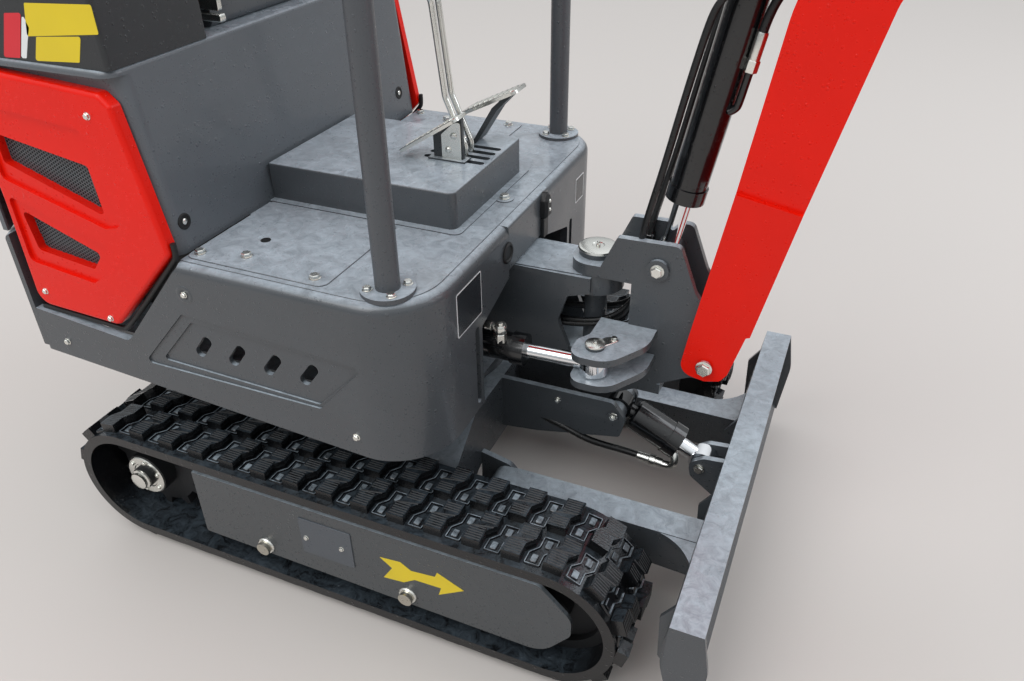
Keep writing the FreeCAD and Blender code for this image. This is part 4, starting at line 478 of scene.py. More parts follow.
def repeated(name, body, head, rows, finishName="zinc"):  # rows: place, aim, along, size
    points = bpy.data.meshes.new(name + "Points")
    points.from_pydata([Vector(row[0]) / 1000 for row in rows], [], [])
    for column, key in ((1, "aim"), (2, "along"), (3, "size")):
        layer = points.attributes.new(key, "FLOAT_VECTOR", "POINT")
        for i, row in enumerate(rows):
            value = row[column]
            layer.data[i].vector = (value, value, value) if isinstance(value, (int, float)) else value
    carrier = bpy.data.objects.new(name + "Carrier", points)
    scene.collection.objects.link(carrier)
    model = bpy.data.objects.new(name + "Head", head)
    scene.collection.objects.link(model)
    modifier = carrier.modifiers.new("heads", "NODES")
    modifier.node_group = headsOnPoints
    inputs = [item for item in headsOnPoints.interface.items_tree if item.in_out == "INPUT"]
    sockets = {item.name: item.identifier for item in inputs}
    modifier[sockets["Head"]] = model
    modifier[sockets["Finish"]] = finishes[finishName]
    view = bpy.context.evaluated_depsgraph_get()
    view.update()
    mesh = bpy.data.meshes.new_from_object(carrier.evaluated_get(view))
    bpy.data.objects.remove(carrier)
    bpy.data.objects.remove(model)
    return dressed(name, body, mesh, finishName)


# Heads of the fasteners, for a size of 1 as on an M8 bolt

def headMesh(*profiles):
    shape = bmesh.new()
    for profile, sides in profiles:
        turned(shape, (0, 0, 0), (0, 0, 1), profile, sides)
    return meshOf(shape)


washer = [(0, 0), (8.4, 0), (8.8, 0.4), (8.6, 1.4), (8.0, 1.7), (0, 1.7)]
hexBolt = headMesh((washer, 24), ([(0, 1.2), (7.4, 1.2), (7.4, 5.6), (6.3, 6.8), (0, 6.8)], 6))
nutHead = headMesh((washer, 24), ([(0, 1.2), (7.4, 1.2), (7.4, 6.6), (6.4, 7.6), (0, 7.6)], 6),
                   ([(0, 7), (3.9, 7), (3.9, 9.6), (3.2, 10.4), (0, 10.4)], 16))
domeBolt = headMesh(([(0, 0), (7.6, 0), (7.8, 0.8), (6.9, 2.6), (4.8, 3.9), (2.2, 4.4), (0, 4.5)], 24))
collar = headMesh(([(0, 0), (8.6, 0), (8.6, 3), (7.6, 5), (0, 5)], 24))
up = (0, 0, 1)
ahead = (1, 0, 0)
right = (0, -1, 0)


def mirrored(rows):  # the same fasteners on the other side
    result = list(rows)
    for place, aim, along, size in rows:
        result.append(((place[0], -place[1], place[2]), (aim[0], -aim[1], aim[2]), along, size))
    return result


# Deck: floor sheet, hatches and flange bolts

deck = {
    "top": 700.0, "sheet": 1.5, "edge": 417.0, "front": 221.0, "rear": -216.0, "corner": 101.0,
    "hatchRear": -215.0, "hatchFront": 60.0, "hatchInner": 168.0, "hatchOuter": 407.0, "hole": (-125.0, 306.0),
    "posts": ((157.0, 374.0, 708.0), (-600.0, 344.0, 1016.0)), "boltCircle": 32.0,
    "hatchBolts": ((-118, -367), (31, -387), (-198, -387)), "frontBolt": (186, 10),
}


def floorSheets():
    shape = bmesh.new()
    edge, front, rear = deck["edge"], deck["front"], deck["rear"]
    outline = rounded([(rear, -edge), (front, -edge), (front, edge), (rear, edge)], deck["corner"], 10)
    outline = [(rear, edge), (rear, -edge)] + [p for p in outline if p[0] > 0]
    slab(shape, outline, (0, 0, deck["top"]), (1, 0, 0), (0, 1, 0), deck["sheet"], 0.6)
    dressed("floorSheet", "house", shape, "charcoal")
    plates, holes = bmesh.new(), bmesh.new()
    x, y = deck["hole"]
    rear, front = deck["hatchRear"], deck["hatchFront"]
    ringed = [(9, 0), (9, 1.4), (6.5, 1.4), (6.5, 0.9), (0, 0.9)]
    for side in (-1, 1):
        inner, outer = sorted((side * deck["hatchInner"], side * deck["hatchOuter"]))
        hatch = [(rear, inner), (front, inner), (front, outer), (rear, outer)]
        slab(plates, rounded(hatch, 16), (0, 0, deck["top"] + 1.4), (1, 0, 0), (0, 1, 0), 2.0, 0.8)
        turned(holes, (x, side * y, deck["top"] + 2.6), up, ringed, 20)
    dressed("hatchPlates", "house", plates, "charcoal")
    dressed("hatchHoles", "house", holes, "seal")


def deckBolts():
    rows = []
    reach = deck["boltCircle"]
    for x, y, z in deck["posts"]:
        for k in range(4):
            angle = math.radians(40 + 90 * k)
            place = (x + reach * math.cos(angle), -y + reach * math.sin(angle), z)
            rows.append((place, up, (math.cos(k), math.sin(k), 0), 0.95))
    for x, y in deck["hatchBolts"]:
        rows.append(((x, y, deck["top"] + 3.2), up, (1, 0.3, 0), 1.15))
    rows = mirrored(rows)
    x, y = deck["frontBolt"]
    rows.append(((x, y, deck["top"] + 3.3), up, ahead, 1.2))
    repeated("deckBolts", "house", hexBolt, rows)


floorSheets()


# Pedals: ribbed plates on the CAD pedals, a bracket beside the near one and their bolts

pedals = {
    # middle of the top, length, half the width, tilt in degrees
    "plates": ((53, -16, 824, 144, 24, 32), (127, 98, 861, 124, 28, 26)),
    "ribs": 9, "ribHalf": 2.0, "margin": 7.0,
    "bracket": ((70, 772), (110, 772), (110, 848), (94, 842), (70, 820)), "bracketSide": -10.5,
}


def pedalPlates():
    plates, ribs = bmesh.new(), bmesh.new()
    for x, y, z, long, half, tilt in pedals["plates"]:
        middle = Vector((x, y, z))
        lean = math.radians(tilt)
        along = (math.cos(lean), 0, math.sin(lean))
        out = Vector((-math.sin(lean), 0, math.cos(lean)))
        near, far = long / 2 + 1, half + 1
        outline = rounded([(-near, -far), (near, -far), (near, far), (-near, far)], 11)
        slab(plates, outline, middle - out * 5.5, along, (0, 1, 0), 7.0, 1.2)
        thick, wide = pedals["ribHalf"], half - pedals["margin"]
        for k in range(pedals["ribs"]):
            at = (k - 4) * long / 10.5
            bar = [(at - thick, -wide), (at + thick, -wide), (at + thick, wide), (at - thick, wide)]
            slab(ribs, rounded(bar, 1.5, 2), middle + out * 1.2, along, (0, 1, 0), 1.6, 0.5)
    bracket = rounded(pedals["bracket"], 5)
    slab(plates, bracket, (0, pedals["bracketSide"], 0), (1, 0, 0), (0, 0, 1), 2.5, 0.6)
    dressed("pedalPlates", "house", plates, "zinc")
    dressed("pedalRibs", "house", ribs, "zinc")
    rows = [((147, y, 865), (0.55, 0, -0.84), ahead, 0.9) for y in (88, 108)]
    rows += [((x, -13, z), right, ahead, 0.8) for x, z in ((84, 792), (96, 820))]
    rows.append(((66, 98, 776), up, ahead, 0.7))
    repeated("pedalBolts", "house", domeBolt, rows)


pedalPlates()
deckBolts()


# Covers and hood: bolts, plugs and the rubber seal along the covers

cover = {
    "face": 434.6, "skirtFace": 434.8,
    "bolts": ((-312, 939), (-552, 578), (-401, 554), (-560, 968)), "skirtBolts": ((104, 437), (-540, 469)),
    "dimple": (-207, 646), "sealSide": 424.0, "sealRadius": 5.0,
    "seal": ((-215, 735), (-214, 712), (-222, 701), (-300, 615), (-376, 534), (-390, 528), (-410, 529),
             (-500, 532), (-584, 534)),
}
hood = {"foot": (-222.0, 700.0), "slope": 30 / 308, "plugs": ((-377, 752), (345, 760))}


def coverBolts():
    face = cover["face"]
    rows = [((x, -face, z), right, (1, 0, 0.2), 0.72) for x, z in cover["bolts"]]
    rows += [((x, -cover["skirtFace"], z), right, (1, 0, 0.4), 0.8) for x, z in cover["skirtBolts"]]
    x, z = cover["dimple"]
    rows.append(((x, -cover["skirtFace"], z), right, ahead, 0.7))
    repeated("coverBolts", "house", hexBolt, mirrored(rows))
    shape = bmesh.new()
    for side in (-1, 1):
        turned(shape, (x, side * face, z), (0, side, 0),
               [(17, 0), (17, 0.5), (15.5, 1.3), (12, 1.3), (9, 0.4), (0, 0.4)], 28)
    dressed("boltDimples", "house", shape, "charcoal")


def hoodPlugs():
    lean = (1, 0, hood["slope"])
    footX, footZ = hood["foot"]
    rims, domes = bmesh.new(), bmesh.new()
    for y, z in hood["plugs"]:
        x = footX - (z - footZ) * hood["slope"]
        turned(rims, (x - 1, y, z), lean,
               [(14, 0), (14, 1.6), (12.8, 2.4), (10.4, 2.4), (9.6, 1.2), (0, 1.2)], 28)
        turned(domes, (x, y, z), lean, [(5.4, 0), (5.2, 1.6), (3.0, 2.8), (0, 3.2)], 20)
    dressed("hoodGrommets", "house", rims, "seal")
    dressed("hoodScrews", "house", domes, "zinc")


def coverSeals():
    for side, word in ((-1, "right"), (1, "left")):
        points = [(x, side * cover["sealSide"], z) for x, z in cover["seal"]]
        dressed("coverSeal_" + word, "house", flexed(points, cover["sealRadius"], 3), "seal")


coverBolts()
hoodPlugs()
coverSeals()


# Front wall: rimmed blank plates, a flat plug and an upright rubber stop with two bolts

wall = {
    "face": 239.5, "plates": ((-308, -215, 591, 674), (262, 312, 595, 650)), "rim": 2.2,
    "plug": (-103.0, 652.0), "stopMiddle": 70.0, "stopThick": 15.0, "stopBolts": (666, 684),
}


def frontPlates():
    plates, rims = bmesh.new(), bmesh.new()
    face = wall["face"]
    for y0, y1, z0, z1 in wall["plates"]:
        outline = rounded([(y0, z0), (y1, z0), (y1, z1), (y0, z1)], 4)
        slab(rims, outline, (face + 0.4, 0, 0), (0, 1, 0), (0, 0, 1), 0.5, 0.1)
        slab(plates, inset(outline, wall["rim"]), (face + 0.7, 0, 0), (0, 1, 0), (0, 0, 1), 0.5, 0.1)
    dressed("plateRims", "house", rims, "white")
    dressed("blankPlates", "house", plates, "darkFilm")
    shape = bmesh.new()
    y, z = wall["plug"]
    turned(shape, (face, y, z), ahead, [(20, 0), (20, 3), (18, 5), (15, 5), (13, 2.6), (0, 2.6)], 28)
    y = wall["stopMiddle"]
    pad = [(y - 14, 650), (y + 14, 650), (y + 14, 686), (y + 3, 701), (y - 3, 701), (y - 14, 686)]
    slab(shape, rounded(pad, 5), (face, 0, 0), (0, 1, 0), (0, 0, 1), wall["stopThick"], 5)
    foot = [(y - 12, 607), (y + 12, 607), (y + 12, 649), (y - 12, 649)]
    slab(shape, rounded(foot, 3), (face, 0, 0), (0, 1, 0), (0, 0, 1), 8, 2)
    dressed("rubberBumpers", "house", shape, "seal")
    rows = [((face + wall["stopThick"] - 0.2, y, z), ahead, up, 0.55) for z in wall["stopBolts"]]
    repeated("bumperBolts", "house", domeBolt, rows)


frontPlates()
print("deck and house fittings made")


# Perforated panels behind the covers' vents

vent = {
    "pitch": 6.2, "wall": 1.0, "proud": 1.2, "face": 413.0, "start": -560.0, "columns": 26, "hidden": 9.0,
    "fields": (
        ((-548, 880), (-352, 850), (-345, 762), (-548, 828)),
        ((-548, 741), (-382, 684), (-410, 650), (-537, 664)),
    ),
}


def inside(point, outline):
    found = False
    for i in range(len(outline)):
        (x0, z0), (x1, z1) = outline[i - 1], outline[i]
        if (z0 > point[1]) != (z1 > point[1]) and point[0] < (x1 - x0) * (point[1] - z0) / (z1 - z0) + x0:
            found = not found
    return found


def ventCells():
    shape = bmesh.new()
    reach = vent["pitch"] / math.sqrt(3)
    rings = []
    inner = reach - vent["wall"]
    for radius, depth in ((reach, 0.0), (reach, vent["proud"]), (inner, vent["proud"]), (inner, 0.0)):
        corners = [(radius * math.cos(math.pi * k / 3), radius * math.sin(math.pi * k / 3)) for k in range(6)]
        rings.append([shape.verts.new((u, v, depth)) for u, v in corners])
    for lower, upper in zip(rings[1:], rings[2:]):
        for i in range(6):
            shape.faces.new((lower[i - 1], lower[i], upper[i], upper[i - 1]))
    bmesh.ops.delete(shape, geom=rings[0], context="VERTS")
    for face in shape.faces:
        face.normal_update()
    bmesh.ops.scale(shape, vec=(0.001, 0.001, 0.001), verts=shape.verts)
    cell = bpy.data.meshes.new("ventCell")
    shape.to_mesh(cell)
    shape.free()
    rows = []
    for field in vent["fields"]:
        grown = inset(field, -vent["hidden"])
        low = min(p[1] for p in grown)
        high = max(p[1] for p in grown)
        for line in range(int((high - low) / (vent["pitch"] / 2)) + 1):
            z = low + line * vent["pitch"] / 2
            shift = 0.0 if line % 2 else 1.5 * reach
            for k in range(vent["columns"]):
                x = vent["start"] + shift + 3 * reach * k
                if inside((x, z), grown):
                    rows.append(((x, -vent["face"], z), right, ahead, 1.0))
    repeated("ventCells", "house", cell, mirrored(rows), "meshWire")


ventCells()
print("vents made")


# Consoles: blank labels and bellows of the joysticks

console = {
    "side": 424.3,
    "labels": (
        ("yellow", ((-387, 1096), (-254, 1103), (-254, 1062), (-402, 1047))),
        ("yellow", ((-383, 1048), (-291, 1056), (-308, 1017), (-400, 1011))),
        ("redFilm", ((-436, 1078), (-400, 1081), (-432, 1012), (-468, 1010))),
        ("white", ((-398, 1081), (-392, 1060), (-404, 1040), (-418, 1013), (-430, 1012))),
    ),
    "stick": (-318.0, 314.5), "foot": 1140.0, "folds": 5, "taper": 4.6, "button": (26.5, 1334.0),
}


def consoleTrim():
    for k, (finishName, outline) in enumerate(console["labels"]):
        shape = bmesh.new()
        for side in (-1, 1):
            points = rounded([(-side * x, z) for x, z in outline], 3)
            slab(shape, points, (0, side * (console["side"] - 0.4), 0), (-side, 0, 0), (0, 0, 1), 0.6, 0.1)
        dressed("blankLabel_%d" % k, "house", shape, finishName)
    shape = bmesh.new()
    x, y = console["stick"]
    profile = [(44, -3), (44, 4), (40, 8)]
    for k in range(console["folds"]):
        outer = 40 - console["taper"] * k
        profile += [(outer, 11 + 10 * k), (outer, 14 + 10 * k), (outer - 5.5, 18 + 10 * k)]
    profile += [(11, 62), (11, 68), (0, 68)]
    for side in (-1, 1):
        turned(shape, (x, side * y, console["foot"]), up, profile, 36)
    dressed("stickBellows", "house", meshOf(shape, 1.2), "seal")
    shape = bmesh.new()
    forward, height = console["button"]
    for side in (-1, 1):
        turned(shape, (x + forward, side * y, height), (1, 0, 0.1), [(5, -4), (5, 2.4), (4, 3.4), (0, 3.6)], 20)
    dressed("stickButtons", "house", shape, "redFilm")


consoleTrim()


# Seat: swollen cushions with sewn channels and piping, on zinc slides

seat = {
    "half": 195.0, "channels": (-98.0, 98.0), "channelDeep": 7.0, "channelWide": 6.0,
    "seam": 178.0, "seamWide": 4.0, "seamDeep": 2.5, "cell": 6.0, "pressure": 4.0, "frames": 20,
    "pipingInset": 9.0, "pipingHeight": 1112.0, "pipingRadius": 3.2,
    "rail": ((-505, 1040), (-262, 1040), (-262, 1062), (-505, 1062)), "railSide": 150.5,
    "handle": ((-300, 1022), (-256, 1022), (-256, 1036), (-300, 1036)), "handleSide": 152.0,
    "cushion": {"low": (-529, 1069), "high": (-271, 1147), "cap": 8.0, "grow": 0.93},
    "back": {"foot": (-460, 1150), "head": (-534, 1560), "thick": 74.0, "cap": 8.0},
}


def padBlock(toPlace, cells=22, power=5.0):  # a closed rounded block, its unit cube laid out by a function
    shape = bmesh.new()
    bmesh.ops.create_cube(shape, size=2.0)
    bmesh.ops.subdivide_edges(shape, edges=shape.edges[:], cuts=cells, use_grid_fill=True)
    for vert in shape.verts:
        a, b, c = vert.co
        norm = (abs(a) ** power + abs(b) ** power + abs(c) ** power) ** (1 / power)
        vert.co = toPlace(a / norm, b / norm, c / norm)
    return meshOf(shape)


def swollen(name, block, capped):  # even cells, then air pressure in cloth, with a cap on each point's move
    piece = bpy.data.objects.new(name, block)
    scene.collection.objects.link(piece)
    even = piece.modifiers.new("even", "REMESH")
    even.mode = "VOXEL"
    even.voxel_size = seat["cell"] / 1000
    view = bpy.context.evaluated_depsgraph_get()
    mesh = bpy.data.meshes.new_from_object(piece.evaluated_get(view))
    piece.modifiers.clear()
    piece.data = mesh
    start = [vert.co.copy() for vert in mesh.vertices]
    cloth = piece.modifiers.new("swell", "CLOTH")
    cloth.settings.use_pressure = True
    cloth.settings.uniform_pressure_force = seat["pressure"]
    cloth.settings.effector_weights.gravity = 0.0
    cloth.point_cache.frame_start = 1
    cloth.point_cache.frame_end = seat["frames"]
    for number in range(1, seat["frames"] + 1):
        scene.frame_set(number)
    view = bpy.context.evaluated_depsgraph_get()
    grown = bpy.data.meshes.new_from_object(piece.evaluated_get(view))
    piece.modifiers.clear()
    for vert, old in zip(grown.vertices, start):
        move = vert.co - old
        if move.length > capped / 1000:
            vert.co = old + move.normalized() * capped / 1000
    piece.data = grown
    scene.frame_set(1)
    subdivision = piece.modifiers.new("fine", "SUBSURF")
    subdivision.levels = 1
    subdivision.render_levels = 1
    view = bpy.context.evaluated_depsgraph_get()
    mesh = bpy.data.meshes.new_from_object(piece.evaluated_get(view))
    bpy.data.objects.remove(piece)
    mesh.name = name
    mesh.shade_smooth()
    return mesh


def sewn(mesh, out):  # channels pressed into the face that the sitter meets
    normals = [vert.normal.copy() for vert in mesh.vertices]
    for vert, normal in zip(mesh.vertices, normals):
        facing = max(0.0, normal.dot(Vector(out)))
        for place in seat["channels"]:
            across = (vert.co.y * 1000 - place) / seat["channelWide"]
            vert.co -= normal * facing * seat["channelDeep"] / 1000 * math.exp(-across * across)
        if facing > 0.25:
            across = (abs(vert.co.y * 1000) - seat["seam"]) / seat["seamWide"]
            vert.co -= normal * facing * seat["seamDeep"] / 1000 * math.exp(-across * across)


def seatCushions():
    half = seat["half"]
    x0, z0 = seat["cushion"]["low"]
    x1, z1 = seat["cushion"]["high"]

    def lying(a, b, c):
        crown = 1.0 - 0.22 * (a * a + b * b) / 2
        nose = 1.0 + 0.06 * a
        lift = (z1 - z0) / 2 * (0.94 if c > 0 else 1.0) * (crown * nose if c > 0 else 1.0)
        pull = 1.0 - 0.02 * c * c
        return ((x0 + x1) / 2 + (x1 - x0) / 2 * 0.965 * a * pull, half * 0.965 * b * pull,
                z0 + (z1 - z0) / 2 + lift * c)

    mesh = swollen("seatCushion", padBlock(lying), seat["cushion"]["cap"])
    sewn(mesh, (0, 0, 1))
    cushion = dressed("seatCushion", "house", mesh, "vinyl")
    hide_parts("seat_cushion")
    (xf, zf), (xh, zh) = seat["back"]["foot"], seat["back"]["head"]
    rise = Vector((xh - xf, 0, zh - zf))
    out = Vector((rise.z, 0, -rise.x)).normalized()

    def leaning(a, b, c):
        share = 0.5 + 0.488 * c
        narrow = 1.0 - 0.10 * max(0.0, c) ** 2
        bulge = seat["back"]["thick"] / 2 * (0.86 - 0.1 * b * b + (0.08 if c < 0 else 0.0))
        spot = Vector((xf, 0, zf)) + rise * share + out * bulge * a
        return (spot.x, half * 0.965 * b * narrow, spot.z)

    mesh = swollen("seatBack", padBlock(leaning), seat["back"]["cap"])
    sewn(mesh, out)
    back = dressed("seatBack", "house", mesh, "vinyl")
    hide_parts("seat_back")
    edge, height = half - seat["pipingInset"], seat["pipingHeight"]
    corners = [(x0 + 12, -edge, height), (x1 - 14, -edge, height), (x1 - 14, edge, height),
               (x0 + 12, edge, height)]
    loop = []
    for p, q in zip(corners, corners[1:] + corners[:1]):
        loop += [tuple(Vector(p).lerp(Vector(q), t)) for t in (0.04, 0.1, 0.5, 0.9, 0.96)]
    dressed("cushionPiping", "house", flexed(loop, seat["pipingRadius"], 4, True), "vinyl")
    shape = bmesh.new()
    rail, handle = rounded(seat["rail"], 4), rounded(seat["handle"], 5)
    for side in (-1, 1):
        outward = (-side, 0, 0)
        slab(shape, [(-side * x, z) for x, z in rail], (0, side * seat["railSide"], 0), outward, up, 9, 1)
        slab(shape, [(-side * x, z) for x, z in handle], (0, side * seat["handleSide"], 0), outward, up, 12, 2)
    dressed("seatSlides", "house", shape, "zinc")


seatCushions()
print("seat made")


# Tracks: ribs on the lugs, raised pads between them, wheel nuts, access plate and arrow

track = {
    "base": 910.0, "bend": 129.5, "wheelZ": 148.5, "middle": 375.0, "links": 36, "rise": 19.0,
    "ribs": (12.0, 17.5, 23.0, 28.5, 45.0, 50.5, 56.0, 61.5, 67.0, 72.5), "ribWide": 2.2, "ribHalf": 14.0,
    "outerRow": 34.0, "stagger": 12.0, "sunk": 0.7, "ribThick": 1.4,
    "link": ((-13, 37), (24, 44), (24, 47), (-13, 40)),
    "pad": ((-15, 8), (15, 8), (15, 34), (28, 50), (28, 76), (-2, 76), (-2, 50), (-15, 34)),
    "smallPads": (((-6, 16), (6, 16), (6, 33), (-6, 33)), ((7, 52), (19, 52), (19, 69), (7, 69))),
    "plateFace": 457.0, "axles": (-134.0, 185.0), "axleZ": 100.0, "hubBolts": 6, "hubReach": 37.0,
    "access": ((-41, 124), (74, 124), (74, 214), (-41, 214)),
    "arrow": ((133, 179), (176, 184), (197, 170), (246, 176), (251, 189), (303, 165), (251, 131), (257, 151),
              (203, 149), (179, 132), (136, 127), (157, 160)),
}


def trackSpot(way):  # place and turn at a distance along the belt from above the sprocket
    half = track["base"] / 2
    bend = math.pi * track["bend"]
    way = way % (2 * track["base"] + 2 * bend)
    reach = track["bend"]
    if way < track["base"]:
        return -half + way, track["wheelZ"] + reach, 0.0
    way -= track["base"]
    if way < bend:
        turn = way / reach
        return half + reach * math.sin(turn), track["wheelZ"] + reach * math.cos(turn), turn
    way -= bend
    if way < track["base"]:
        return half - way, track["wheelZ"] - reach, math.pi
    turn = math.pi + (way - track["base"]) / reach
    return -half + reach * math.sin(turn), track["wheelZ"] + reach * math.cos(turn), turn


def trackDetail():
    length = 2 * track["base"] + 2 * math.pi * track["bend"]
    pitch = length / track["links"]
    ribs = bmesh.new()
    base = (0, 0, track["rise"] - track["sunk"])
    half, wide, thick = track["ribHalf"], track["ribWide"], track["ribThick"]
    for v in track["ribs"]:
        shift = 0.0 if v < track["outerRow"] else track["stagger"]
        bar = [(shift - half, v), (shift + half, v), (shift + half, v + wide), (shift - half, v + wide)]
        slab(ribs, bar, base, (1, 0, 0), (0, 1, 0), thick, 0.4)
    slab(ribs, track["link"], base, (1, 0, 0), (0, 1, 0), thick, 0.4)
    pads = bmesh.new()
    frameRing(pads, rounded(track["pad"], 3, 2), (0, 0, -0.2), (1, 0, 0), (0, 1, 0), 3.2, 4.2)
    for outline in track["smallPads"]:
        slab(pads, rounded(outline, 2, 2), (0, 0, -0.2), (1, 0, 0), (0, 1, 0), 3.4, 1.0)
    ribMesh = meshOf(ribs)
    padMesh = meshOf(pads)
    for side, word in ((-1, "right"), (1, "left")):
        ribRows, padRows = [], []
        for link in range(track["links"]):
            for half in (1, -1):
                for rows, shift in ((ribRows, 0.0), (padRows, 0.5)):
                    x, z, turn = trackSpot((link + 0.25 * half + shift) * pitch)
                    rows.append(((x, side * track["middle"], z), (math.sin(turn), 0, math.cos(turn)),
                                 (half * math.cos(turn), 0, -half * math.sin(turn)), 1.0))
        repeated("lugRibs_" + word, "undercarriage", ribMesh, ribRows, "ribRubber")
        # the pad rims take the finish with a painted sky reflection on their tops
        repeated("beltPads_" + word, "undercarriage", padMesh, padRows, "wetRimSkySheen")


def trackFittings():
    face = track["plateFace"]
    x, z = -track["base"] / 2, track["wheelZ"]
    access, arrow, hubs = bmesh.new(), bmesh.new(), bmesh.new()
    for side in (-1, 1):
        outward = (-side, 0, 0)
        plate = rounded([(-side * u, v) for u, v in track["access"]], 3)
        slab(access, plate, (0, side * (face - 0.2), 0), outward, up, 2.2, 0.6)
        sign = [(-side * u, v) for u, v in track["arrow"]]
        slab(arrow, sign, (0, side * (face - 0.1), 0), outward, up, 0.6, 0.1)
        hub = [(23, 0), (23, 4), (19, 6), (19, 12), (14, 14), (0, 14)]
        turned(hubs, (x, side * 438.5, z), (0, side, 0), hub, 12)
        flange = [(46, 0), (46, 3), (44, 4.4), (30, 4.4), (28, 2), (0, 2)]
        turned(hubs, (x, side * 424.6, z), (0, side, 0), flange, 36)
    dressed("accessPlates", "undercarriage", access, "bluish")
    dressed("directionArrows", "undercarriage", arrow, "yellow")
    dressed("driveHubs", "undercarriage", hubs, "zinc")
    rows = [((u, -face - 2, v), right, ahead, 0.62) for u, v in ((-28, 166), (51, 168))]
    for k in range(track["hubBolts"]):
        angle = math.radians(60 * k + 20)
        place = (x + track["hubReach"] * math.cos(angle), -428.6, z + track["hubReach"] * math.sin(angle))
        rows.append((place, right, ahead, 0.62))
    repeated("trackBolts", "undercarriage", hexBolt, mirrored(rows))
    rows = [((u, -face - 0.2, track["axleZ"]), right, ahead, (2.2, 2.2, 0.9)) for u in track["axles"]]
    repeated("axleCollars", "undercarriage", collar, mirrored(rows))


trackDetail()
trackFittings()
print("track details made")


# Pins: a head with its keeper bolt at each pivot, on the body that carries the pin

def alongLine(origin, lean, along, across):
    angle = math.radians(lean)
    return (origin[0] + along * math.sin(angle) + across * math.cos(angle),
            origin[1] + along * math.cos(angle) - across * math.sin(angle))


boomLean, elbowLean, armLean = 10.5, 48.5, 165.0  # degrees from upright, of the boom's two parts and the arm
boomFoot = (608.0, 478.0)
rodFoot = (505.0, 648.0)
elbow = alongLine(boomFoot, boomLean, 700, 0)
armPivot = alongLine(elbow, elbowLean, 640, 0)
boomTop = alongLine(boomFoot, boomLean, 688, -131)
pins = {
    # body, place, distance from the middle to the pin's end, size of the head
    "bracketFoot": ("swing", boomFoot, 72.8, 1.75),
    "bracketRod": ("swing", rodFoot, 60.8, 1.45),
    "boomTop": ("boom", boomTop, 40.6, 1.6),
    "armBase": ("boom", alongLine(elbow, elbowLean, 60, -115), 36.6, 1.6),
    "armPivot": ("boom", armPivot, 67.2, 1.9),
    "armTop": ("arm", alongLine(armPivot, armLean, -159, -85), 47.6, 1.5),
    "bucketBase": ("arm", alongLine(armPivot, armLean, 180, -78), 36.6, 1.5),
    "rocker": ("arm", alongLine(armPivot, armLean, 664.5, -12), 58.6, 1.5),
    "bucketPin": ("arm", alongLine(armPivot, armLean, 828, 0), 58.6, 1.5),
}


def pinHeads():
    groups = {}
    for body, (x, z), half, size in pins.values():
        for side in (-1, 1):
            groups.setdefault(body, []).append(((x, side * half, z), (0, side, 0), (0.4, 0, 1), size))
    for body, rows in groups.items():
        repeated("pinHeads_" + body, body, hexBolt, rows)


bracket = {
    "swingPin": (378.0, 0.0), "rodPin": (427.0, -150.0), "keeperBolt": (452.0, -118.0),
    "keeper": ((420, -158), (434, -158), (462, -118), (452, -108), (436, -116), (420, -142)),
}


def bracketFittings():
    shape = bmesh.new()
    x, y = bracket["swingPin"]
    turned(shape, (x, y, 640.5), up, [(36, 0), (37, 1.5), (35.5, 5), (31, 6.4), (12, 6.4), (10, 5), (0, 5)], 40)
    rodX, rodY = bracket["rodPin"]
    turned(shape, (rodX, rodY, 530.6), up, [(18, 0), (18.6, 0.8), (18, 3.2), (16.5, 4.2), (0, 4.2)], 32)
    slab(shape, rounded(bracket["keeper"], 6), (0, 0, 525.2), (1, 0, 0), (0, 1, 0), 3.4, 0.8)
    dressed("bracketCaps", "swing", shape, "zinc")
    keeperX, keeperY = bracket["keeperBolt"]
    rows = [((keeperX, keeperY, 528.4), up, ahead, 0.75), ((rodX, rodY, 534.6), up, ahead, 0.6)]
    repeated("bracketBolts", "swing", hexBolt, rows)
    shape = bmesh.new()
    turned(shape, (x, y, 645.4), up, [(4, 0), (4, 3), (2.4, 4), (2.4, 6), (3.2, 7), (2.6, 8.6), (0, 9.2)], 12)
    dressed("greaseNipple", "swing", shape, "zinc")


pinHeads()
bracketFittings()
print("pins made")


# Hoses and pipes: held at both ends, so none of them is a free cord

hoses = {
    "bundle": ((-36.5, 0.0), (-25.0, 7.0), (25.0, 2.0), (36.5, -4.0)),  # distance to the side, height step
    "radius": 5.6, "besidePin": 38.0, "clampHalves": ((-42.5, -19.0), (19.0, 42.5)), "clampX": (454.0, 474.0),
    "clampZ": 662.0, "clampTall": 12.0, "inner": 43.0, "outer": 51.0,
    # path beside the boom's cylinder, from the clamp to the pipes on the boom
    "climb": ((474, 730), (497, 830), (519, 947), (541, 1050), (552, 1090), (574, 1112), (610, 1112), (642, 1106),
              (658, 1114), (663, 1128)),
}
pipes = {
    # distance to the side, distance behind the boom's line, stations along the upper boom
    "runs": ((-46.0, -64.0, (30, 120, 260, 420, 560)), (46.0, -64.0, (30, 120, 260, 420, 560)),
             (-36.0, -66.0, (30, 120, 260, 400, 470)), (36.0, -66.0, (30, 120, 260, 400, 470))),
    "lower": (642, 656, 674, 690), "radius": 5.0, "clamps": (110, 300, 480), "nuts": ((636, 8.5), (650, 10.0)),
    "nutSides": (-44, 44, -36, 36), "hoseSides": (-36.0, 36.0), "hoseRadius": 7.0,
}


